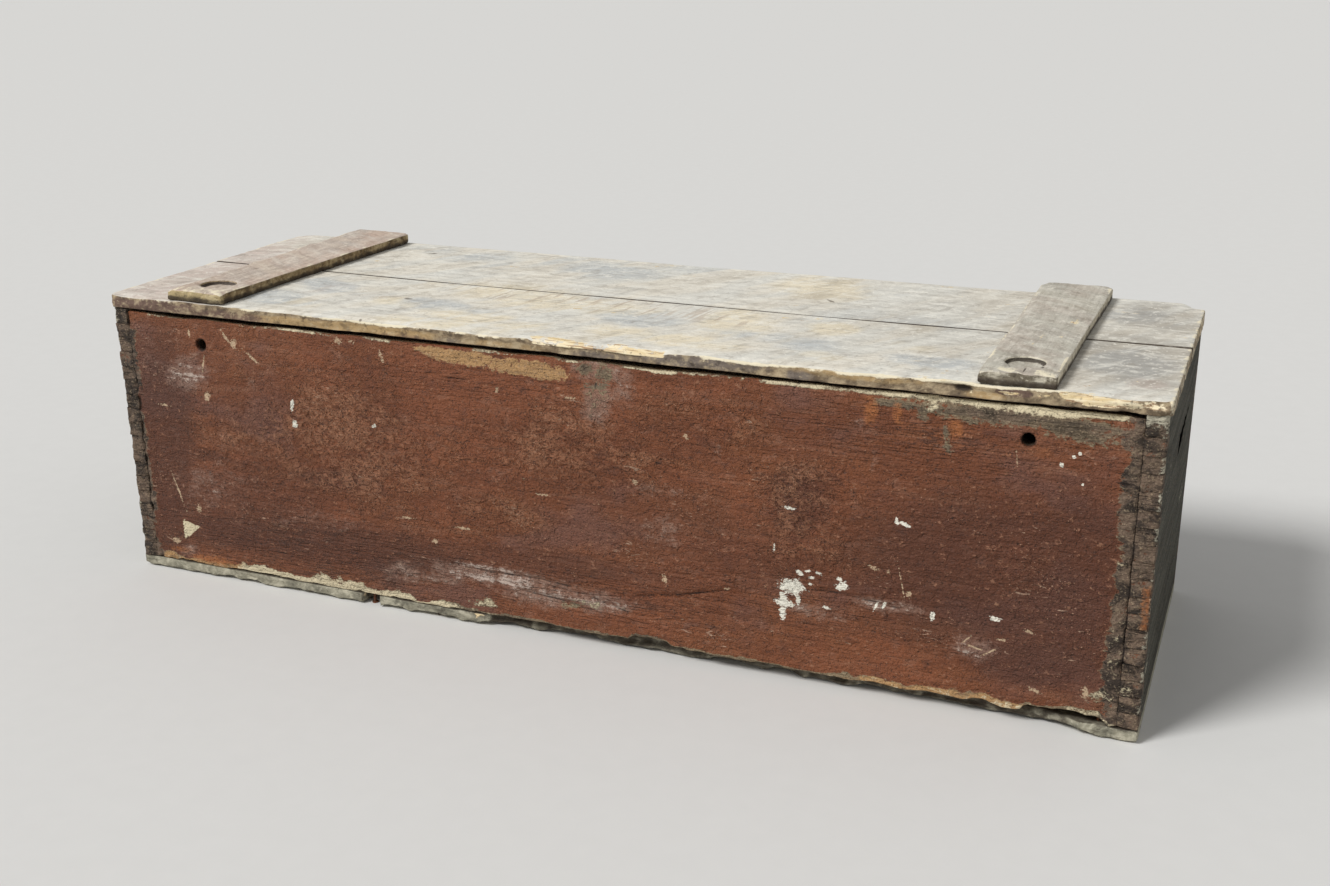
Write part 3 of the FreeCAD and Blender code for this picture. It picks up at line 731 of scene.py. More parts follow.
LID_LAYERS = [
    ("cloud", 0.40, 0.60, 1.0, "grey"), ("cool", 0.2, 0.9, 0.85, "cool"), ("warm", 0.2, 0.9, 0.85, "warm"),
    ("pink", 0.2, 1.0, 0.85, "pink"), ("shade", 0.1, 1.1, 0.55, "dark"), ("ring", 0.2, 1.0, 0.10, "dark"),
    ("cloud", 0.54, 0.68, 0.30, "bright"), ("cloud", 0.46, 0.32, 0.20, "dark"),
    ("patch", 0.54, 0.66, 0.42, "bright"), ("patch", 0.46, 0.32, 0.30, "dark"),
    ("streak", 0.53, 0.66, 0.15, "dark"), ("streak", 0.47, 0.34, 0.28, "bright"),
    ("fibre", 0.54, 0.74, 0.18, "dark"),
    ("fleck", 0.54, 0.66, 0.50, "bright"), ("fleck", 0.46, 0.32, 0.30, "dark"),
    ("grit", 0.58, 0.70, 0.60, "bright"), ("grit", 0.40, 0.28, 0.45, "dark"),
    ("sawn", 0.1, 0.9, 0.6, "sawn"), ("brown", 0.4, 0.6, 1.0, "edge_wood"), ("lip", 0.5, 0.85, 0.9, "lip"),
    # The last row is dirt in the seam and cracks, and painted shade in the edge's cavity and worm holes,
    # under the lid's front edge, in the battens' recesses, along their feet, and on the bottom's top and
    # broken edge
    ("yellow", 0.5, 0.7, 1.0, "broken_wood"), ("grime_and_shade", 0.4, 0.9, 0.9, "grime_and_shade"),
]
EDGE_LAYERS = [
    ("patch", 0.40, 0.60, 1.0, "edge_deep"), ("edge_cool", 0.2, 0.8, 0.85, "edge_cool"),
    ("edge_warm", 0.2, 0.8, 0.85, "edge_warm"), ("edge_pink", 0.2, 0.8, 0.85, "edge_pink"),
    ("fleck", 0.54, 0.70, 0.60, "edge_pale"), ("fleck", 0.46, 0.30, 0.60, "grime_and_shade"),
    ("grit", 0.55, 0.70, 0.50, "edge_pale"), ("grit", 0.44, 0.30, 0.50, "grime_and_shade"),
    ("streak", 0.55, 0.70, 0.45, "grime_and_shade"),
    ("patch", 0.55, 0.68, 0.45, "grime_and_shade"), ("patch", 0.45, 0.32, 0.55, "edge_pale"),
]
BROKEN_LAYERS = [
    ("streak", 0.40, 0.60, 1.0, "broken_deep"), ("fleck", 0.52, 0.68, 0.6, "lip"),
    ("grit", 0.45, 0.30, 0.8, "edge_deep"), ("fibre", 0.44, 0.36, 0.6, "lip"),
    ("fibre", 0.55, 0.62, 0.75, "splinter"),
]
LID_MARK_LAYERS = [("mark", 1.1, 0.5, 0.7, (96, 84, 70))]
IRON_BASE = (70, 58, 52)
IRON_LAYERS = [
    ("cloud", 0.35, 0.65, 1.0, (112, 70, 46)), ("pits", 0.55, 0.7, 0.7, (44, 36, 33)),
    ("pits", 0.42, 0.3, 0.5, (150, 92, 52)),
]

# Relief of the materials: field and depth in metres
PAINT_BUMPS = [("relief", 0.0052), ("patch", 0.0036), ("fleck", 0.0026), ("streak", 0.0014), ("grit", 0.0009)]
LID_BUMPS = [("fibre", 0.0004), ("patch", 0.0011), ("fleck", 0.0011), ("streak", 0.0008), ("grit", 0.0006)]
IRON_BUMPS = [("pits", 0.0003), ("cloud", 0.0006)]

# Bare wood under the paint and of the ends and back: two tones, dark lines and pale worn places
PAINT_WOOD = {"light": (138, 120, 94), "dark": (112, 98, 79), "line": (66, 54, 46), "pale": (224, 210, 176)}
END_WOOD = {"light": (90, 90, 80), "dark": (66, 66, 58), "line": (44, 42, 37), "pale": (196, 189, 168)}

# Bleached wood of the lid, and what differs on the battens and the bottom
LID_PALETTE = {
    "pale": (228, 221, 206), "grey": (216, 213, 203), "cool": (190, 193, 192), "warm": (236, 223, 195),
    "pink": (205, 188, 177), "dark": (146, 138, 126), "bright": (240, 236, 224), "sawn": (186, 168, 148),
    "edge": (152, 134, 108), "edge_deep": (116, 100, 80), "edge_pale": (190, 172, 140),
    "edge_cool": (116, 106, 98), "edge_warm": (176, 148, 106), "edge_pink": (104, 82, 74),
    "lip": (236, 225, 197), "broken": (244, 229, 194), "broken_deep": (218, 194, 148),
    "splinter": (142, 98, 66), "grime_and_shade": (58, 49, 41),
}
LEFT_BATTEN_PALETTE = dict(
    LID_PALETTE, pale=(206, 190, 173), grey=(188, 175, 163), cool=(166, 163, 160), warm=(218, 196, 164),
    pink=(200, 174, 156), dark=(126, 110, 96), bright=(228, 216, 200), edge=(160, 139, 104),
    edge_deep=(124, 103, 72), edge_pale=(206, 190, 152), edge_pink=(178, 160, 120), broken=(206, 188, 146),
    broken_deep=(170, 148, 108),
)
RIGHT_BATTEN_PALETTE = dict(
    LID_PALETTE, pale=(196, 191, 177), grey=(178, 174, 162), cool=(166, 165, 159), warm=(214, 201, 172),
    pink=(190, 177, 163), dark=(122, 113, 99), bright=(226, 220, 206), edge=(216, 207, 186),
    edge_deep=(188, 179, 158), edge_pale=(228, 220, 200), edge_pink=(92, 82, 66),
)
BOTTOM_PALETTE = dict(
    LID_PALETTE, pale=(176, 170, 150), grey=(158, 153, 135), cool=(146, 147, 133), warm=(192, 180, 148),
    pink=(160, 148, 130), dark=(100, 93, 78), bright=(208, 202, 182), edge=(160, 155, 136),
    edge_deep=(128, 122, 105), edge_pale=(196, 190, 170), edge_cool=(140, 139, 124),
)


def along_grain(shader, grain):
    """Places turned so that x runs along the grain."""
    return shader.mapped((1, 1, 1), 0.0, GRAIN_TURNS[grain])


def growth_rings(shader, along, shift, pith):
    """Growth rings from 0 to 1 round a wandering pith at that place across the grain and in height."""
    parts = shader.node("ShaderNodeSeparateXYZ", {0: along}).outputs
    fields = shader.fields(RING_NOISE, shift, along)
    across = shader.plus(shader.sway(parts[1], fields, {"sway": RING_SWAY}), -pith[0])
    depth = shader.plus(shader.sway(parts[2], fields, {"lift": RING_LIFT}), -pith[1])
    radius = shader.math("SQRT", shader.plus(shader.times(across, across), shader.times(depth, depth)))
    phase = shader.math("FRACT", shader.times(radius, 1 / RING_GAP))
    return shader.times(shader.step(phase, 0.15, 0.85), shader.step(phase, 1.0, 0.88))


def paint_relief(shader, fields):
    """Adds what the random fields make together: wrinkles, furrows, dashes and specks."""
    crinkle, combed = [shader.ridged(fields[name]) for name in ("crinkle", "combed")]
    grained = shader.painted("grained")
    wrinkled = shader.step(shader.sway(shader.painted("wrinkled"), fields, {"cloud": 2.6}), 0.0, 1.2)
    folds = shader.times(crinkle, shader.math("MULTIPLY_ADD", wrinkled, 0.8, 0.2))
    combing = shader.math("MULTIPLY_ADD", grained, 0.38, 0.12)
    fields["relief"] = shader.math("MULTIPLY_ADD", combed, combing, folds)
    furrow = shader.math("MULTIPLY_ADD", grained, 0.4, combed)
    fields["furrow"] = shader.plus(shader.sway(furrow, fields, {"cloud": 1.6}), -0.55)
    fields["dash"] = shader.sway(fields["dash"], fields, {"cloud": 0.6})
    speck = shader.math("MULTIPLY_ADD", wrinkled, 0.04, fields["grit"])
    fields["speck"] = shader.sway(speck, fields, {"cloud": 0.4})


def painted_wood(name, grain, shift, woods, marked):
    """Worn red-brown paint over wood, with hazes, bare places, wrinkles, dirt and spots, painted highlights
    and shade on its fine relief, and painted shade in holes and under the lid.
    """
    shader = Shader(name)
    fields = shader.fields(PAINT_NOISE, shift, along_grain(shader, grain))
    paint_relief(shader, fields)
    shader.covers(fields, PAINT_COVERS)
    corner = shader.layers(tint(*CORNER_BASE), fields, CORNER_LAYERS, {})
    wood = shader.layers(tint(*woods["light"]), fields, WOOD_LAYERS, dict(woods, corner=corner))
    paint = shader.layers(tint(*PAINT_BASE), fields, PAINT_LAYERS, {})
    colour = shader.layers(paint, fields, SURFACE_LAYERS, {"wood": wood})
    if marked:
        fields["cream"] = shader.sway(shader.marks(CREAM_MARKS, 1, low_front.y), fields, CREAM_SWAY)
        fields["white"] = shader.sway(shader.marks(WHITE_MARKS, 1, low_front.y), fields, WHITE_SWAY)
        colour = shader.layers(colour, fields, MARK_LAYERS, {})
    dull = shader.math("MULTIPLY_ADD", shader.painted("bare"), 0.2, 0.55)
    # Gloss is taken away where the painted shade is near black, so that it stays black
    gloss = shader.times(shader.step(shader.painted("grime_and_shade"), 1.2, 0.6), 0.35)
    bumps = [(fields[field], depth) for field, depth in PAINT_BUMPS]
    return shader.finish(colour, shader.sway(dull, fields, {"fleck": 0.5}), gloss, *bumps)


def lid_wood(name, grain, shift, palette, pith, top=None):
    """Bleached bare wood with patches, brown edges, yellow broken places, dirt and painted shade where the
    points call for them, and dark marks on a top.
    """
    shader = Shader(name)
    along = along_grain(shader, grain)
    fields = shader.fields(LID_NOISE, shift, along)
    fields["ring"] = growth_rings(shader, along, shift, pith)
    cuts = shader.step(shader.sway(fields["sawn"], fields, {"cloud": 0.6}), 0.55, 0.68)
    fields["sawn"] = shader.times(shader.painted("sawn"), cuts)
    shader.covers(fields, LID_COVERS)
    edge = shader.layers(tint(*palette["edge"]), fields, EDGE_LAYERS, palette)
    broken = shader.layers(tint(*palette["broken"]), fields, BROKEN_LAYERS, palette)
    shades = dict(palette, edge_wood=edge, broken_wood=broken)
    colour = shader.layers(tint(*palette["pale"]), fields, LID_LAYERS, shades)
    if top is not None:
        smudge = shader.fields(MARK_NOISE, 0, None)
        fields["mark"] = shader.sway(shader.marks(LID_MARKS, 2, top), smudge, {"smudge": 1.4})
        colour = shader.layers(colour, fields, LID_MARK_LAYERS, {})
    bumps = [(fields[field], depth) for field, depth in LID_BUMPS]
    return shader.finish(colour, shader.sway(0.72, fields, {"fleck": 0.4}), 0.2, *bumps)


def rusty_iron(name, shift):
    """Iron with brown and orange rust and darker pits."""
    shader = Shader(name)
    fields = shader.fields(IRON_NOISE, shift, None)
    colour = shader.layers(tint(*IRON_BASE), fields, IRON_LAYERS, {})
    shader.put(shader.surface.inputs["Metallic"], 0.35)
    bumps = [(fields[field], depth) for field, depth in IRON_BUMPS]
    return shader.finish(colour, shader.sway(0.6, fields, {"cloud": 0.5}), 0.3, *bumps)


def piece(node, board, body, material, values):
    """Turns a board into a scene object that stands for its CAD node."""
    mesh = bpy.data.meshes.new("worn_" + node)
    mesh.from_pydata(board.points.tolist(), [], board.quads.tolist())
    mesh.polygons.foreach_set("use_smooth", [True] * len(mesh.polygons))
    for name, value in values.items():
        mesh.attributes.new(name, "FLOAT", "POINT").data.foreach_set("value", value.astype(np.float32))
    mesh.materials.append(material)
    made = bpy.data.objects.new("worn_" + node, mesh)
    bpy.context.scene.collection.objects.link(made)
    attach(made, body)
    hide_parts(node)


def finger_number(z):
    """Which finger of the comb joint a height is on, counted down from the top."""
    return np.clip(np.floor((high_front.z - z) / FINGER_HEIGHT), 0, FINGER_COUNT - 1).astype(int)


def in_pocket(x, y):
    """Whether a place lies in the outline of a hinge leaf."""
    inside = [(x > low.x) & (x < high.x) & (y > low.y) for low, high in LEAF_BOXES]
    return np.any(inside, axis=0)


def grain_relief(points, grain, seed):
    """Low ridges along the grain and a broader unevenness."""
    along = points if grain == "x" else points[:, [1, 0, 2]]
    return GRAIN_HEIGHT * rough(along, GRAIN_FIELD, seed) + UNEVEN_HEIGHT * rough(along, UNEVEN_FIELD, seed)


def comb_lines(points, seed):
    """Cracks between the fingers of the comb joint, open in some places and closed in others."""
    open_share = rough(points, COMB_FIELD, seed) + rough(points, BROAD_COMB_FIELD, seed)
    gaps = strongest(*[near(points[:, 2], knot, 0, COMB_LINE_HALF) for knot in FINGER_KNOTS])
    return gaps * ease(open_share, -0.3, 0.8)


def facing(board):
    """How far each point faces sideways, and how far it faces down."""
    up = board.normals()[:, 2]
    return ease(np.abs(up), 0.9, 0.6), ease(-up, 0.4, 0.8)


# Names of the values painted on the points of each kind of wood
PAINT_VALUES = (
    "bare", "golden", "weathered", "pale", "haze", "orange", "wrinkled", "grained", "deep", "grime_and_shade",
)
LID_VALUES = ("cool", "warm", "pink", "shade", "sawn", "brown", "lip", "yellow", "grime_and_shade")


# Front board: its holes, and the bare strip beside each comb joint
HOLE_X = 0.425
HOLE_Z = 0.2647
HOLE_RADIUS = 0.006
HOLES = [(-HOLE_X, HOLE_Z), (HOLE_X, HOLE_Z)]
HOLE_KNOT_SHARES = (-1, -0.5, 0, 0.5, 1)
# Painted shade inside the holes fades out between these shares of their radius
BORE_SHADE_SHARES = (1.05, 1.5)
STRIP_LEFT = 0.005
STRIP_RIGHT = 0.012
STRIP_SWAY = 0.007
STRIP_FADE = 0.004
LIMIT_HALF = 0.0035
STRIP_FIELD = ((0.02, 1, 0.016), 19, 3)
LIMIT_FIELD = ((1, 1, 0.04), 27, 1)
JOINT_FIELD = ((1, 1, 0.05), 23, 1)

# Splits and cracks of the front: half widths in pixels, the swelling above a split, and depths in metres
SPLIT_HALF = 3.0
SWELL_HALF = 10.0
SWELL_ABOVE = 7
CRACK_HALF = 2.6
FRONT_DEPTHS = {"split": 0.0018, "swell": -0.0016, "crack": 0.0016, "limit": 0.0012, "joint": 0.0018}
CORNER_JAGS = 0.0017

# Wear of the front's top: where along x it changes, the band below the edge that it takes, and its depth
TOP_BAND = (0, 0.012)
TOP_WEAR = 0.0028
TOP_WEAR_RIGHT = 0.0017
TOP_WEAR_END = 0.0010
TOP_RIGHT = (0.12, 0.34)
TOP_END = (0.46, 0.51)
TOP_FIELD = ((0.03, 1, 1), 35, 3)
WORN_RIGHT = (0.10, 0.42)
WORN_RIGHT_BAND = (SKIN, 0.010)
WORN_RIGHT_DEPTH = 0.0042
WORN_RIGHT_JAGS = 0.001
NOTCH_DEPTH = 0.004
# Painted shade on the front's top under the lid: its band below the top, and the depths behind the face over
# which it grows
SHADOW_BAND = (SKIN, 0.003)
SHADOW_DEPTHS = (0.003, 0.007)

# Pale lip along the front's top: height, where along x it rises and how far, and where it grows stronger
LIP_HEIGHT = 0.0009
LIP_RISES = [(0.05, 0.20, 0.0010), (0.32, 0.42, 0.0018)]
LIP_GAINS = [(0.0, 0.15, 0.4), (0.30, 0.40, 0.6)]
LIP_FIELD = ((0.03, 1, 1), 41, 3)
LIP_GAIN_FIELD = ((0.03, 1, 1), 42, 1)

# Lower edge of the front: small chips, and large ones as start, full from, full to and end along x, and depth
CHIP_DEPTH = 0.0012
FINE_CHIP_DEPTH = 0.0009
CHIP_FADE = 0.02
CHIP_FIELD = ((0.025, 1, 1), 31, 1)
FINE_CHIP_FIELD = ((0.007, 1, 1), 33, 1)
LOWER_CHIPS = [
    (0.055, 0.062, 0.095, 0.103, 0.0045),
    (0.385, 0.392, 0.403, 0.412, 0.0030),
    (0.432, 0.440, 0.498, 0.512, 0.0065),
]
BAND_HEIGHT = 0.0016
BAND_PALE = 0.3
BAND_FIELD = ((0.025, 1, 1), 43, 3)

# Numbers that set the random draws of the boards apart, and shifts that do so for their materials
FRONT_SEED = 0
COMB_SEED = 25
END_SEED = 50
BACK_SEED = 60
BOTTOM_SEED = 73
LID_FRONT_SEED = 80
LID_REAR_SEED = 90
LEFT_BATTEN_SEED = 101
RIGHT_BATTEN_SEED = 111
FRONT_SHIFT = 2.0
END_SHIFT = 6.0
BACK_SHIFT = 9.0
BOTTOM_SHIFT = 12.0
LID_FRONT_SHIFT = 20.0
LID_REAR_SHIFT = 26.0
BATTEN_SHIFT = 30.0


def ramps(value, rows):
    """Sum of smooth rises, each from a start to an end by an amount."""
    return sum(rise * ease(value, start, end) for start, end, rise in rows)


def front_masks(home):
    """Where the front's face, bare corners, splits, cracks and open joints lie."""
    x, y, z = home.T
    u, v = seen(home)
    outer = near(y, low_front.y, *FACE)
    sway = STRIP_SWAY * rough(home, STRIP_FIELD)
    strip = INNER_X - np.where(x < 0, STRIP_LEFT, STRIP_RIGHT)
    limit = near(np.abs(x) + 0.5 * sway, strip, 0, LIMIT_HALF) * ease(rough(home, LIMIT_FIELD), -0.1, 0.5)
    joint = near(np.abs(x), INNER_X, 0, JOINT_HALF) * ease(rough(home, JOINT_FIELD), -0.6, 0.4)
    return {
        "outer": outer,
        "corner": ease(np.abs(x) + sway, strip - STRIP_FADE, strip + STRIP_FADE),
        "jagged": rough(home, JAG_FIELD),
        "split": trench(u, v, FRONT_SPLITS, SPLIT_HALF) * outer,
        "swell": trench(u, v + SWELL_ABOVE, FRONT_SPLITS, SWELL_HALF) * outer,
        "crack": trench(u, v, FRONT_CRACKS, CRACK_HALF) * outer,
        "limit": limit * outer,
        "joint": joint * outer,
    }


def wear_front(board, masks):
    """Cuts the splits and cracks, and wears the corners, the top and the lower edge."""
    home = board.home
    x, y, z = home.T
    u, v = seen(home)
    low, high = low_front, high_front
    outer, corner, jagged = masks["outer"], masks["corner"], masks["jagged"]
    depth = sum(FRONT_DEPTHS[name] * masks[name] for name in FRONT_DEPTHS)
    depth += CORNER_JAGS * corner * jagged * outer
    worn_right = ease(x, *WORN_RIGHT) * outer * (1 - corner) * near(z, high.z, *WORN_RIGHT_BAND)
    depth += worn_right * (WORN_RIGHT_DEPTH + WORN_RIGHT_JAGS * jagged)
    notch = near(u, NOTCH_ACROSS, NOTCH_FLAT, NOTCH_HALF) * near(z, high.z, *TOP_BAND) * outer
    board.points[:, 1] += depth + NOTCH_DEPTH * notch

    chip = CHIP_DEPTH + CHIP_DEPTH * rough(home, CHIP_FIELD) + FINE_CHIP_DEPTH * rough(home, FINE_CHIP_FIELD)
    for *places, chip_depth in LOWER_CHIPS:
        chip += chip_depth * stretch(x, *places)
    board.points[:, 2] += chip.clip(0) * near(z, low.z, 0, CHIP_FADE) * (0.5 + 0.5 * outer)
    top_wear = TOP_WEAR + (TOP_WEAR_RIGHT - TOP_WEAR) * ease(x, *TOP_RIGHT)
    top_wear += (TOP_WEAR_END - top_wear) * ease(np.abs(x), *TOP_END)
    top_wear *= 1 + 0.3 * rough(home, TOP_FIELD)
    board.points[:, 2] -= top_wear.clip(0) * near(z, high.z, *TOP_BAND)


def bare_triangle(u, v):
    """1 inside the bare triangle near the lower left corner."""
    sides = zip(BARE_TRIANGLE, BARE_TRIANGLE[1:] + BARE_TRIANGLE[:1])
    inside = [((q[0] - p[0]) * (v - p[1]) - (q[1] - p[1]) * (u - p[0])) / math.dist(p, q) for p, q in sides]
    return ease(np.min(inside, axis=0), -TRIANGLE_BLUR, TRIANGLE_BLUR)


def top_lip(home):
    """How pale the front is just below its top edge."""
    x, y, z = home.T
    height = LIP_HEIGHT + ramps(x, LIP_RISES)
    height = (height * (1 + 0.5 * rough(home, LIP_FIELD))).clip(LEAST_HEIGHT)
    edge = high_front.z - SKIN
    lip = ease(z, edge - height * 1.8, edge - height * 0.6)
    return (lip * (0.4 + ramps(x, LIP_GAINS) + 0.6 * rough(home, LIP_GAIN_FIELD))).clip(0, 1.4)


def lower_band(home):
    """How bare the front is just above its lower edge, and how golden and how pale it is there."""
    x, y, z = home.T
    u, v = seen(home)
    height, golden, pale = BAND_HEIGHT, 0, BAND_PALE
    for *places, rise, gold, paleness in LOWER_BANDS:
        share = stretch(u, *places)
        height = height + rise * share
        golden = golden + gold * share
        pale = pale + (paleness - BAND_PALE) * share
    height = (height * (1 + 0.8 * rough(home, BAND_FIELD))).clip(LEAST_HEIGHT)
    edge = low_front.z + SKIN
    return 1 - ease(z, edge + height * 0.4, edge + height * 2.0), golden, pale


def front_values(board, masks):
    """Where the paint is bare, hazy, wrinkled, dark or dirty, and where shade is painted under the lid and in
    the holes.
    """
    home = board.home
    x, y, z = home.T
    u, v = seen(home)
    low, high = low_front, high_front
    outer, corner, joint = masks["outer"], masks["corner"], masks["joint"]
    triangle = 1.8 * bare_triangle(u, v) * outer
    lip = top_lip(home) * (1 - corner)
    band, band_gold, band_pale = lower_band(home)
    golden, grey, worn = [spots(u, v, table) for table in (FRONT_GOLDEN, FRONT_GREY, FRONT_WORN)]
    within = 2 * (1 - outer)
    comb = ease(np.abs(x), INNER_X - COMB_REACH, INNER_X) * comb_lines(home, COMB_SEED)
    dark = spots(u, v, FRONT_DARK) * outer
    # Painted shade on the top behind the face, where the lid's edge shades it
    shadow = near(z, high.z, *SHADOW_BAND) * ease(y - low.y, *SHADOW_DEPTHS)
    # Painted shade inside the two holes
    hole_far = np.min([np.hypot(x - hole_x, z - hole_z) for hole_x, hole_z in HOLES], axis=0)
    bore_shade = (1 - ease(hole_far / HOLE_RADIUS, *BORE_SHADE_SHARES)) * (1 - 0.3 * outer)
    split, crack, limit = 0.8 * masks["split"], 0.8 * masks["crack"], 0.9 * masks["limit"]
    return {
        "bare": strongest(golden, grey, worn, triangle, lip * 1.3, band * 1.1, within, corner, joint),
        "golden": strongest(golden * 1.1, within * 0.3, band * band_gold),
        "weathered": strongest(corner, 0.55 * grey, 0.5 * band * (1 - band_pale - band_gold)),
        "pale": strongest(triangle, lip, band * band_pale, worn * 0.7) * outer,
        "haze": np.maximum(spots(u, v, FRONT_HAZE), corner * 0.4),
        "orange": spots(u, v, FRONT_ORANGE) * outer,
        "wrinkled": spots(u, v, FRONT_WRINKLED),
        "grained": spots(u, v, FRONT_GRAINED),
        "deep": spots(u, v, FRONT_DEEP),
        "grime_and_shade": strongest(comb * 0.95, joint, limit, split, crack, dark, 0.9 * shadow, bore_shade),
    }


def make_front():
    """Front plank: paint worn off in places, two holes, splits, a chipped lower edge."""
    low, high = low_front, high_front

    def empty(x, y, z):
        gone = (np.abs(x) > INNER_X) & (finger_number(z) % 2 == 0)
        for hole_x, hole_z in HOLES:
            gone |= np.hypot(x - hole_x, z - hole_z) < HOLE_RADIUS
        return gone

    hole_knots = [hole_x + share * HOLE_RADIUS for hole_x, _ in HOLES for share in HOLE_KNOT_SHARES]
    knots = (hole_knots + [-INNER_X, INNER_X], (), FINGER_KNOTS + [HOLE_Z])
    board = Board(low, high, FRONT_STEPS, knots, empty)
    for hole in HOLES:
        board.snap_round(0, 2, hole, HOLE_RADIUS, HOLE_RADIUS / 2)
    board.round_corners(low.y, CORNER_RADIUS)
    fingers = np.abs(board.home[:, 0]) > INNER_X - SKIN
    board.round_edges(0.55, 0.35, EDGE_FIELD, FRONT_SEED, fingers)
    board.push(grain_relief(board.home, "x", FRONT_SEED + 11) * ~fingers)
    masks = front_masks(board.home)
    wear_front(board, masks)
    material = painted_wood("front_paint", "x", FRONT_SHIFT, PAINT_WOOD, True)
    piece("front_board", board, "chest", material, front_values(board, masks))


# End boards: crack in the right one as places along the end and up, half heights at its ends, and depth
END_CRACK = [(-0.008, 0.2190), (0.025, 0.2225), (0.055, 0.2260), (0.095, 0.2290)]
END_CRACK_HALF = (0.016, 0.0045)
END_CRACK_DEPTH = 0.002

# End boards: relief, worn finger tips, how far one finger stands up into the worn lid, and pale edges
TIP = (SKIN, 0.005)
TIP_JAGS = 0.0016
RIB_HEIGHT = 0.0006
RAISED_FINGER = 0.0036
RAISED_FADE = 0.004
PALE_FRONT = (0.002, 0.009)
PALE_TOP = (SKIN, 0.008)
END_JAG_FIELD = ((0.011, 0.011, 0.008), 57, 3)
RIB_FIELD = ((0.05, 0.09, 0.008), 59, 3)
WEATHER_FIELD = ((1, 0.10, 0.045), 58, 2)


def make_end(name, side):
    """End plank whose fingers show on the front and the back, with a crack in the right one."""
    low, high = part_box(name)
    inner = [low.y + BOARD_THICKNESS, high.y - BOARD_THICKNESS]
    face = max(abs(low.x), abs(high.x))
    on_right = side > 0

    def empty(x, y, z):
        return ((y < inner[0]) | (y > inner[1])) & (finger_number(z) % 2 == 1)

    board = Board(low, high, END_STEPS, ((), inner, FINGER_KNOTS), empty)
    for corner_y in (low.y, high.y):
        board.round_corner(side * face, corner_y, CORNER_RADIUS)
    home = board.home
    x, y, z = home.T
    u, v = seen(home)
    fingers = (y < inner[0] + SKIN) | (y > inner[1] - SKIN)
    board.round_edges(0.6, 0.3, EDGE_FIELD, END_SEED, fingers)
    outer = near(x * side, face, *FACE)
    front = near(y, low.y, *TIP)
    tips = np.maximum(front, near(y, high.y, *TIP))
    jagged = rough(home, END_JAG_FIELD)
    half_start, half_end = END_CRACK_HALF
    half = half_start + (half_end - half_start) * ease(y, END_CRACK[0][0], END_CRACK[-1][0])
    crack = trench(y, z, [END_CRACK], half * (1 + 0.3 * jagged)) * outer * on_right
    calm = 1 - 0.8 * outer * on_right
    relief = grain_relief(home, "y", END_SEED + 5 + side) + RIB_HEIGHT * rough(home, RIB_FIELD) * outer
    board.push(relief * calm * ~fingers)
    board.points[:, 1] += TIP_JAGS * front * jagged
    board.points[:, 0] -= crack * END_CRACK_DEPTH
    raised = (1 - ease(y, inner[0] - RAISED_FADE, inner[0])) * near(z, high.z, 0, FINGER_HEIGHT)
    board.points[:, 2] += raised * RAISED_FINGER * on_right

    inside = (1 - outer) * (1 - front)
    top_tip = front * ease((high.z - z) / FINGER_HEIGHT, 1.1, 0.1) * on_right
    edges = outer * np.maximum(near(y, low.y, *PALE_FRONT), near(z, high.z, *PALE_TOP))
    weather = 0.5 * outer * ease(rough(home, WEATHER_FIELD), 0.1, 0.8)
    foot = 0.45 * near(z, low.z, 0, FOOT_HEIGHT) * outer
    values = board.zeros(*PAINT_VALUES)
    values["bare"] = 2.0 - 0.85 * front
    values["golden"] = 0.6 * inside
    values["weathered"] = front
    values["pale"] = strongest(top_tip, 0.3 * inside, 0.6 * edges, weather)
    values["haze"] = front * 0.5
    values["orange"] = spots(u, v, FRONT_ORANGE) * front * on_right
    values["grained"] += 1
    comb = 0.95 * tips * comb_lines(home, COMB_SEED)
    # Dark: dirt in the comb lines, painted shade near black inside the crack, and the feet darker towards the
    # bottom
    values["grime_and_shade"] = strongest(comb, 1.6 * ease(crack, 0.05, 0.55), foot)
    material = painted_wood(name + "_wood", "y", END_SHIFT + side, END_WOOD, False)
    piece(name, board, "chest", material, values)


def make_back():
    """Back plank with sockets at both ends and pockets for the hinge leaves."""
    low, high = low_back, high_back

    def empty(x, y, z):
        sockets = (np.abs(x) > INNER_X) & (finger_number(z) % 2 == 0)
        return sockets | in_pocket(x, y) & (z > high.z - LEAF_THICKNESS)

    knots = ([-INNER_X, INNER_X] + LEAF_KNOTS, [LEAF_FRONT], FINGER_KNOTS + [high.z - LEAF_THICKNESS])
    board = Board(low, high, BACK_STEPS, knots, empty)
    board.round_corners(high.y, CORNER_RADIUS)
    home = board.home
    x, y, z = home.T
    fingers = np.abs(x) > INNER_X - SKIN
    board.round_edges(0.5, 0.3, EDGE_FIELD, BACK_SEED, fingers)
    board.push(grain_relief(home, "x", BACK_SEED + 1) * ~fingers)
    outer = near(y, high.y, *FACE)
    corner = ease(np.abs(x), INNER_X - COMB_REACH, INNER_X)
    gaps = np.maximum(comb_lines(home, BACK_SEED + 5), 0.7 * near(np.abs(x), INNER_X, 0, JOINT_HALF))
    values = board.zeros(*PAINT_VALUES)
    values["bare"] = 2.0 - 0.9 * outer
    values["golden"] = 0.6 * (1 - outer)
    values["weathered"] = corner
    values["haze"] = 0.5 * outer
    values["grained"] += 1
    values["grime_and_shade"] = np.maximum(corner * gaps, 0.4 * near(z, low.z, 0, FOOT_HEIGHT) * outer)
    material = painted_wood("back_wood", "x", BACK_SHIFT, END_WOOD, False)
    piece("back_board", board, "chest", material, values)


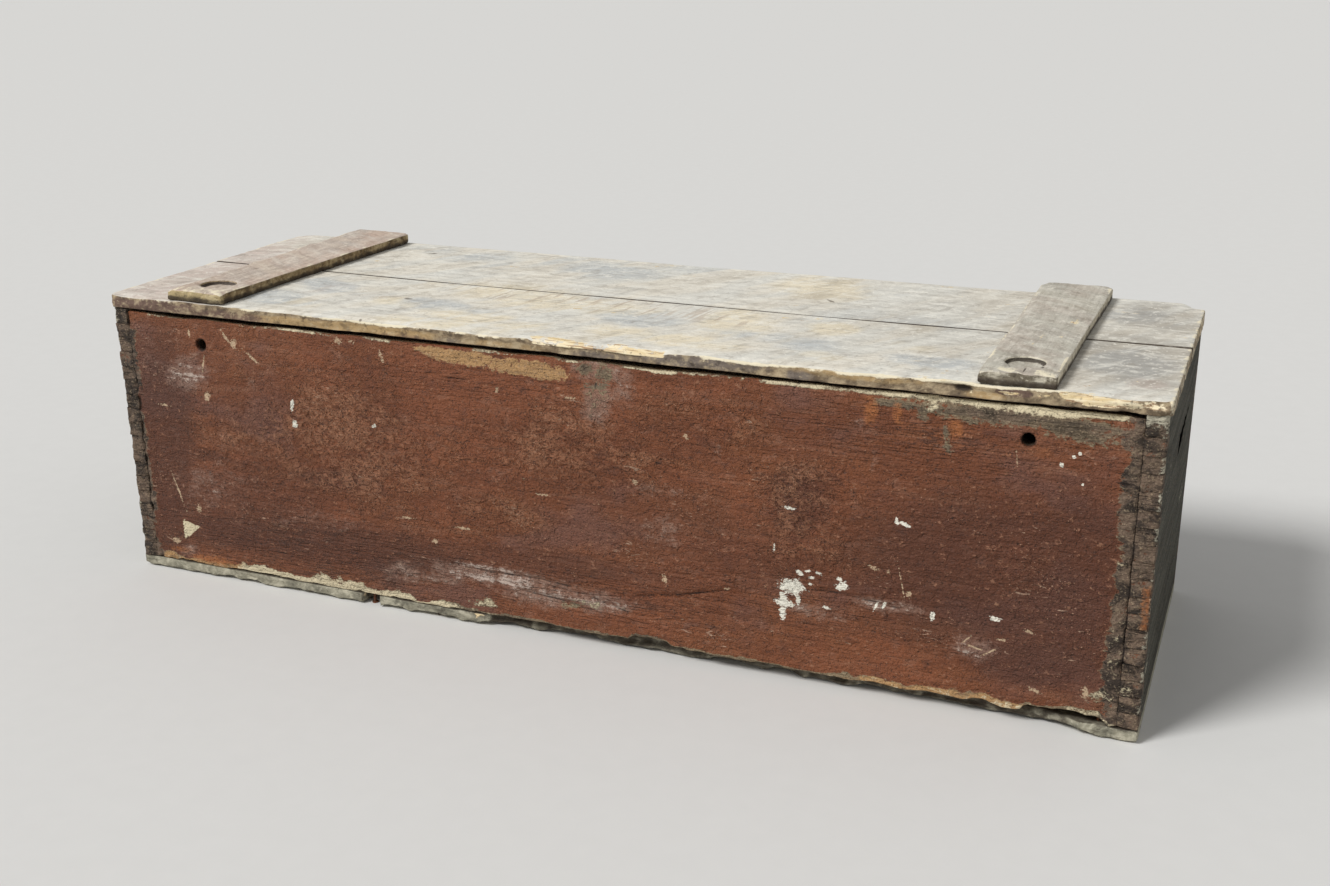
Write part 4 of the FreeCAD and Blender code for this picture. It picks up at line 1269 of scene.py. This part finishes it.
# Bottom boards: the broken front edge as shares of the front's length and of the board thickness
BREAK_SHARES = [
    (0.000, 0.00), (0.266, 0.00), (0.269, 0.60), (0.283, 0.64), (0.287, 0.00), (0.402, 0.00), (0.411, 0.41),
    (0.450, 0.60), (0.520, 0.75), (0.640, 0.64), (0.760, 0.75), (0.860, 0.60), (0.925, 0.67), (0.945, 0.26),
    (0.955, 0.00), (1.000, 0.00),
]
BREAK_FADE = 0.03
# Depths of the break from which its broken-back part is painted dark as shade, to where that is full
BREAK_SHADE = (0.002, 0.006)
FINE_BREAK = 0.0012
BREAK_FIELD = ((0.03, 1, 0.006), 75, 3)
FINE_BREAK_FIELD = ((0.02, 1, 0.004), 77, 4)

# Bottom boards: worn underside, splintered lower front edge, its brown band, and a band of painted shade
# along its top
UNDER_FADE = 0.004
UNDER_WEAR = 0.0005
UNDER_SWAY = 0.0003
UNDER_FIELD = ((0.05, 0.01, 1), 71, 1)
SPLINTER_LEAST = 0.0006
SPLINTER_HEIGHT = 0.0035
SPLINTER_FADE = 0.012
SPLINTER_FIELD = ((0.03, 1, 1), 79, 4)
BROWN_BAND = (0.0005, 0.003)
SHADED_TOP = 0.0016
BOTTOM_PITH = (0.04, -0.05)


def break_front(board, values):
    """Breaks the front edge of a bottom board away, with a notch round a nail."""
    low, high, home = board.low, board.high, board.home
    x, y, z = home.T
    shares, depths = np.array(BREAK_SHARES).T
    share = (x - low_front.x) / (high_front.x - low_front.x)
    depth = np.interp(share, shares, depths) * BOARD_THICKNESS
    # Painted shade on the broken-back part of the edge, growing with the depth of the break
    break_shade = ease(depth, *BREAK_SHADE)
    depth = depth * (1 + 0.25 * rough(home, BREAK_FIELD)) + FINE_BREAK * rough(home, FINE_BREAK_FIELD)
    front = near(y, low[1], 0, BREAK_FADE)
    board.points[:, 1] += depth.clip(0) * front
    splinters = SPLINTER_HEIGHT * np.abs(rough(home, SPLINTER_FIELD)) + SPLINTER_LEAST
    board.points[:, 2] += splinters * near(y, low[1], 0, SPLINTER_FADE) * (1 - ease(z, low[2], high[2]))
    values["brown"] = 0.9 * near(y, low[1], *BROWN_BAND)
    # Painted shade along the top, below the walls, and on the broken-back part of the front edge
    values["grime_and_shade"] = np.maximum(0.8 * near(z, high[2], 0, SHADED_TOP), 0.75 * break_shade * front)


def make_bottom(name, broken):
    """Bottom board with a worn underside; the front one has a broken front edge."""
    low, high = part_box(name)
    length = high_front.x - low_front.x
    knots = [low_front.x + share * length for share, _ in BREAK_SHARES[1:-1]] if broken else []
    board = Board(low, high, BOTTOM_STEPS, (knots, (), ()))
    home = board.home
    board.round_edges(0.6, 0.3, FINE_EDGE_FIELD, BOTTOM_SEED)
    under = near(home[:, 2], low.z, 0, UNDER_FADE)
    board.points[:, 2] += under * (UNDER_WEAR + UNDER_SWAY * rough(home, UNDER_FIELD))
    values = board.zeros(*LID_VALUES)
    if broken:
        break_front(board, values)
    values["cool"] += 0.4
    values["grime_and_shade"] = np.maximum(values["grime_and_shade"], 0.35 * under)
    material = lid_wood(name + "_wood", "x", BOTTOM_SHIFT + broken, BOTTOM_PALETTE, BOTTOM_PITH)
    piece(name, board, "chest", material, values)


# Lid boards: corner radii, hollow of the top, lift of the underside, wear along the seam, and pale ends
LID_FRONT_RADIUS = 0.005
LID_REAR_RADIUS = 0.024
LID_HOLLOW = 0.0012
UPPER_FROM = 0.005
LID_LIFT = 0.0004
LID_LIFT_FADE = 0.002
SEAM = (0.0004, 0.0030)
SEAM_WEAR = 0.0009
LID_END_EDGE = (SKIN, 0.006)
LID_END_FACE = (SKIN, 0.004)


def lid_values(board, upright, under):
    """Patches of the lid's top and edges by pixel, pale worn edges, and a browner underside."""
    x, y, z = board.home.T
    u, v = seen(board.home)
    flat = (1 - upright) * (1 - under)
    end = board.high[0] - np.abs(x)
    end_edge = near(np.hypot(end, board.high[2] - z), 0, *LID_END_EDGE)
    values = board.zeros(*LID_VALUES)
    values["warm"] = spots(u, v, LID_WARM) * flat + spots(u, v, EDGE_WARM) * upright
    values["cool"] = spots(u, v, LID_COOL) * flat + spots(u, v, EDGE_COOL) * upright
    values["pink"] = strongest(spots(u, v, LID_PINK) * flat, spots(u, v, EDGE_PINK) * upright, 0.8 * under)
    values["shade"] = spots(u, v, LID_SHADE) * flat
    values["sawn"] = spots(u, v, LID_SAWN) * flat
    values["yellow"] = spots(u, v, LID_YELLOW) * (upright + 0.4 * flat)
    values["brown"] = upright
    values["lip"] = np.maximum(0.7 * end_edge, 0.5 * upright * near(end, 0, *LID_END_FACE))
    return values


def upper_share(board):
    """0 near the underside of a lid board, rising to 1 at its top."""
    return ease(board.home[:, 2], board.low[2] + UPPER_FROM, board.high[2] - SKIN)


def wear_lid(board, seam, into):
    """Hollows the top along its length, lifts the underside and wears the seam into the board."""
    x, y, z = board.home.T
    board.points[:, 2] -= LID_HOLLOW * (1 - (x / board.high[0]) ** 2) * upper_share(board)
    board.points[:, 2] += LID_LIFT * near(z, board.low[2], 0, LID_LIFT_FADE)
    board.points[:, 1] += into * SEAM_WEAR * seam


# Front edge of the lid: depths of its waves, of the worn and torn arris, and of the broken right end
WAVE_DEPTH = 0.0013
WAVE_IN = 0.001
WAVE_FADE = 0.02
WAVE_FIELD = ((0.08, 1, 0.02), 85, 1)
FINE_WAVE_FIELD = ((0.022, 1, 0.007), 87, 3)
FRONT_EDGE_FADE = 0.009
ARRIS_WEAR = 0.0016
ARRIS_SWAY = 0.0011
ARRIS_TORN = 0.0030
ARRIS_RIGHT = (0.40, 0.45)
ARRIS_LESS = 0.001
ARRIS_FIELD = ((0.03, 1, 1), 89, 3)
EATEN = (0.40, 0.49)
EATEN_HEIGHT = 0.0018
EATEN_DEPTH = 0.0028
EATEN_REACH = (0.012, 0.03)
LOWER_EDGE = (SKIN, 0.009)
EATEN_FIELD = ((0.014, 1, 1), 91, 3)
EATEN_FACE_FIELD = ((0.010, 1, 0.005), 92, 3)
WORM_FIELD = ((0.006, 0.006, 0.005), 94, 1)
CAVITY_DEPTH = 0.006
LID_LIP = (SKIN, 0.004)
LID_LIP_GAINS = [(0.1, 0.3, 0.35), (-0.45, -0.25, 0.5)]
LID_LIP_FIELD = ((0.04, 1, 1), 96, 1)
LID_FRONT_PITH = (-0.09, 0.25)


def make_lid_front():
    """Front board of the lid, with a wavy worn front edge that is broken in places."""
    low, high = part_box("lid_front_board")
    board = Board(low, high, LID_FRONT_STEPS)
    board.round_corners(low.y, LID_FRONT_RADIUS)
    home = board.home
    board.round_edges(0.6, 0.3, EDGE_FIELD, LID_FRONT_SEED)
    upright, under = facing(board)
    x, y, z = home.T
    u, v = seen(home)
    upper = upper_share(board)
    front = near(y, low.y, 0, FRONT_EDGE_FADE)
    seam = near(y, high.y, *SEAM)
    torn = 0.95 * trench(u, v, [LID_TORN], TORN_HALF)
    eaten = ease(x, *EATEN)
    cavity = spots(u, v, LID_CAVITY) * front
    board.push(grain_relief(home, "x", LID_FRONT_SEED + 1))
    wear_lid(board, seam, -1)
    wave = WAVE_DEPTH * (rough(home, WAVE_FIELD) + rough(home, FINE_WAVE_FIELD)) + WAVE_IN
    board.points[:, 1] += wave * near(y, low.y, 0, WAVE_FADE)
    arris = ARRIS_WEAR + ARRIS_SWAY * rough(home, ARRIS_FIELD)
    arris += ARRIS_TORN * torn - ARRIS_LESS * ease(x, *ARRIS_RIGHT)
    board.points[:, 2] -= arris.clip(0) * front * upper
    gone = EATEN_HEIGHT * eaten * (1 + 0.8 * rough(home, EATEN_FIELD)) + LEAST_HEIGHT
    gone = gone.clip(LEAST_HEIGHT) * near(z, low.z, *LOWER_EDGE)
    board.points[:, 2] += gone * near(y, low.y, *EATEN_REACH)
    board.points[:, 1] += eaten * EATEN_DEPTH * rough(home, EATEN_FACE_FIELD).clip(-0.2) * front
    board.points[:, 1] += CAVITY_DEPTH * cavity

    values = lid_values(board, upright, under)
    lip = near(np.hypot(y - low.y, high.z - z), 0, *LID_LIP)
    lip = lip * (0.1 + ramps(x, LID_LIP_GAINS) + 0.5 * rough(home, LID_LIP_FIELD))
    values["lip"] = np.maximum(values["lip"], lip * (1 - 0.8 * eaten)) * (1 - cavity)
    values["yellow"] = np.maximum(values["yellow"], torn * (1 - under)) * (1 - cavity)
    values["brown"] = np.maximum(upright, cavity)
    holes = eaten * front * ease(rough(home, WORM_FIELD), 0.35, 0.6)
    # Dark: painted shade in the cavity, the worm holes and under the front edge, and dirt in the seam
    values["grime_and_shade"] = strongest(cavity * 1.1, seam * 0.95, 0.6 * holes, 0.9 * under * front)
    top = board.high[2]
    material = lid_wood("lid_front_board_wood", "x", LID_FRONT_SHIFT, LID_PALETTE, LID_FRONT_PITH, top)
    piece("lid_front_board", board, "lid", material, values)


# Rear board of the lid: its worn right corner, and its pith
WORN_CORNER_DROP = 0.006
WORN_CORNER_REACH = 0.026
LID_REAR_PITH = (0.08, 0.22)


def make_lid_rear():
    """Rear board of the lid, with pockets below for the hinge leaves."""
    low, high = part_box("lid_rear_board")

    def empty(x, y, z):
        return in_pocket(x, y) & (z < low.z + LEAF_THICKNESS)

    board = Board(low, high, LID_REAR_STEPS, (LEAF_KNOTS, [LEAF_FRONT], [low.z + LEAF_THICKNESS]), empty)
    board.round_corners(high.y, LID_REAR_RADIUS)
    home = board.home
    board.round_edges(0.6, 0.3, EDGE_FIELD, LID_REAR_SEED)
    upright, under = facing(board)
    x, y, z = home.T
    seam = near(y, low.y, *SEAM)
    board.push(grain_relief(home, "x", LID_REAR_SEED + 5))
    wear_lid(board, seam, 1)
    worn = near(np.hypot(high.x - x, high.y - y), 0, 0, WORN_CORNER_REACH)
    board.points[:, 2] -= WORN_CORNER_DROP * worn * ease(z, low.z, high.z)
    values = lid_values(board, upright, under)
    values["grime_and_shade"] = 0.95 * seam
    top = board.high[2]
    material = lid_wood("lid_rear_board_wood", "x", LID_REAR_SHIFT, LID_PALETTE, LID_REAR_PITH, top)
    piece("lid_rear_board", board, "lid", material, values)


# Battens: round recess, corner radius, worn edges, cracks, and the bands of their looks
RECESS_RADIUS = 0.0175
RECESS_DEPTH = 0.00495
RECESS_FROM_FRONT = 0.039
RECESS_SNAP = 0.0022
BATTEN_RADIUS = 0.008
BATTEN_UPPER_FROM = 0.003
BATTEN_WEAR = 0.0018
BATTEN_SWAY = 0.0016
BATTEN_LEAST = 0.0002
SIDE_FADE = 0.007
BATTEN_FRONT_FADE = 0.008
BATTEN_JAGS = 0.001
BATTEN_JAG_FADE = 0.01
BATTEN_CRACK_DEPTH = 0.0015
BATTEN_FACE = (0.0015, 0.005)
PALE_END = (0.010, 0.026)
PALE_SIDE = (SKIN, 0.006)
# Band of painted shade along the foot of each batten, where it sits on the lid
BATTEN_FOOT_SHADE = (0.002, 0.010)
BATTEN_ARRIS_FIELD = ((0.02, 0.03, 1), 2, 3)
BATTEN_JAG_FIELD = ((0.012, 1, 0.004), 3, 3)
BATTEN_PINK_FIELD = ((0.03, 0.08, 1), 5, 1)
BATTEN_LIP_FIELD = ((0.02, 0.03, 1), 7, 1)
BATTEN_PITH = (0.02, 0.2)

# How far the corners of each batten are moved along x: front left, front right, rear left, rear right
LEFT_SKEW = (-0.005, -0.002, -0.006, 0.008)
RIGHT_SKEW = (0.002, 0.0015, -0.003, 0.0035)


def make_batten(name, palette, seed, cracks, skew):
    """Cross batten with worn edges and a round recess near its front end, skewed along x."""
    low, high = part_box(name)
    middle = ((low.x + high.x) / 2, low.y + RECESS_FROM_FRONT)

    def empty(x, y, z):
        return (np.hypot(x - middle[0], y - middle[1]) < RECESS_RADIUS) & (z > high.z - RECESS_DEPTH)

    board = Board(low, high, BATTEN_STEPS, ((), (), [high.z - RECESS_DEPTH]), empty)
    board.snap_round(0, 1, middle, RECESS_RADIUS, RECESS_SNAP)
    reach = np.hypot(*(board.points[:, :2] - middle).T)
    board.round_corners(high.y, BATTEN_RADIUS)
    home = board.home
    x, y, z = home.T
    board.round_edges(0.7, 0.25, FINE_EDGE_FIELD, seed, rounds=4)
    upright, under = facing(board)
    edge = np.minimum(x - low.x, high.x - x)
    upper = ease(z, low.z + BATTEN_UPPER_FROM, high.z)
    board.push(grain_relief(home, "y", seed + 1))
    arris = (BATTEN_WEAR + BATTEN_SWAY * rough(home, BATTEN_ARRIS_FIELD, seed)).clip(BATTEN_LEAST) * upper
    side_wear = np.where(x > middle[0], 0.3, 1.0) * near(edge, 0, 0, SIDE_FADE)
    board.points[:, 2] -= arris * side_wear
    board.points[:, 2] -= 0.5 * arris * near(y, low.y, 0, BATTEN_FRONT_FADE)
    jagged = BATTEN_JAGS * rough(home, BATTEN_JAG_FIELD, seed)
    board.points[:, 1] += jagged * near(y, low.y, 0, BATTEN_JAG_FADE)
    back = (y - low.y) / (high.y - low.y)
    right = (x - low.x) / (high.x - low.x)
    front_shift = skew[0] + (skew[1] - skew[0]) * right
    back_shift = skew[2] + (skew[3] - skew[2]) * right
    board.points[:, 0] += front_shift * (1 - back) + back_shift * back
    crack = trench(*seen(home), cracks, BATTEN_CRACK_HALF) * upper
    board.points[:, 2] -= BATTEN_CRACK_DEPTH * crack

    in_recess = (reach < RECESS_RADIUS * 1.02) & (z < high.z - RECESS_DEPTH / 3)
    # The wall of the recess, painted darkest as shade
    shaded_wall = in_recess & (reach > RECESS_RADIUS * 0.97)
    blush = 0.5 + 0.4 * rough(home, BATTEN_PINK_FIELD, seed)
    by_front = 0.65 * near(y, low.y, *PALE_END) * upper
    by_edge = (0.5 + 0.5 * rough(home, BATTEN_LIP_FIELD, seed)) * near(edge, 0, *PALE_SIDE) * upper
    values = board.zeros(*LID_VALUES)
    values["pink"] = blush * (1 - upright) + 1.2 * near(y, low.y, *BATTEN_FACE) * upright
    values["brown"] = upright * ~in_recess
    values["lip"] = np.maximum(by_front, by_edge) * (1 - 0.9 * upright) * ~in_recess
    # Dark: the cracks, and painted shade in the recess, on its wall and along the batten's foot
    values["grime_and_shade"] = strongest(crack, 0.35 * in_recess, 0.95 * shaded_wall, 0.85 * near(z, low.z, *BATTEN_FOOT_SHADE))
    material = lid_wood(name + "_wood", "y", BATTEN_SHIFT + seed, palette, BATTEN_PITH)
    piece(name, board, "lid", material, values)


make_front()
make_end("left_end_board", -1)
make_end("right_end_board", 1)
make_back()
make_bottom("bottom_front_board", True)
make_bottom("bottom_rear_board", False)
make_lid_front()
make_lid_rear()
make_batten("lid_left_batten", LEFT_BATTEN_PALETTE, LEFT_BATTEN_SEED, [], LEFT_SKEW)
make_batten("lid_right_batten", RIGHT_BATTEN_PALETTE, RIGHT_BATTEN_SEED, BATTEN_CRACKS, RIGHT_SKEW)

for index, (name, node) in enumerate(sorted(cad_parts.items())):
    if any(word in name for word in ("nails", "screws", "leaf", "pin")):
        node.data.materials.clear()
        node.data.materials.append(rusty_iron(name + "_iron", float(index)))


# Floor: speckles per metre and two screen colours
FLOOR_SPECKLES = (40, 40, 40)
FLOOR_TONES = ((216, 215, 212), (220, 219, 216))


def link(name, data):
    """A new object in the scene."""
    made = bpy.data.objects.new(name, data)
    bpy.context.scene.collection.objects.link(made)
    return made


def make_stage():
    """Pale floor, soft sun, pale surround and the camera of the photograph."""
    mesh = bpy.data.meshes.new("floor")
    half = FLOOR_HALF
    corners = [(-half, -half, 0), (half, -half, 0), (half, half, 0), (-half, half, 0)]
    mesh.from_pydata(corners, [], [(0, 1, 2, 3)])
    floor = link("floor", mesh)
    shader = Shader("pale_floor")
    colour = shader.mix(shader.noise(FLOOR_SPECKLES), *[tint(*tone) for tone in FLOOR_TONES])
    floor.data.materials.append(shader.finish(colour, 0.9, 0.25))

    sun = bpy.data.lights.new("sun", "SUN")
    sun.energy = SUN_STRENGTH
    sun.angle = SUN_ANGLE
    lamp = link("sun", sun)
    lamp.rotation_mode = "QUATERNION"
    lamp.rotation_quaternion = SUN_FROM.to_track_quat("Z", "Y")

    world = bpy.data.worlds.new("surround")
    world.use_nodes = True
    background = world.node_tree.nodes["Background"]
    background.inputs["Color"].default_value = (1, 1, 1, 1)
    background.inputs["Strength"].default_value = SURROUND_STRENGTH
    bpy.context.scene.world = world
    bpy.context.scene.view_settings.view_transform = "Standard"

    lens = bpy.data.cameras.new("camera")
    lens.sensor_width = SENSOR_WIDTH
    lens.sensor_fit = "HORIZONTAL"
    lens.lens = SENSOR_WIDTH * FOCAL_PIXELS / PHOTO_WIDTH
    camera = link("camera", lens)
    turn = Matrix((CAMERA_RIGHT, CAMERA_UP, -CAMERA_AHEAD)).transposed().to_4x4()
    camera.matrix_world = Matrix.Translation(CAMERA_PLACE) @ turn
    bpy.context.scene.camera = camera


make_stage()
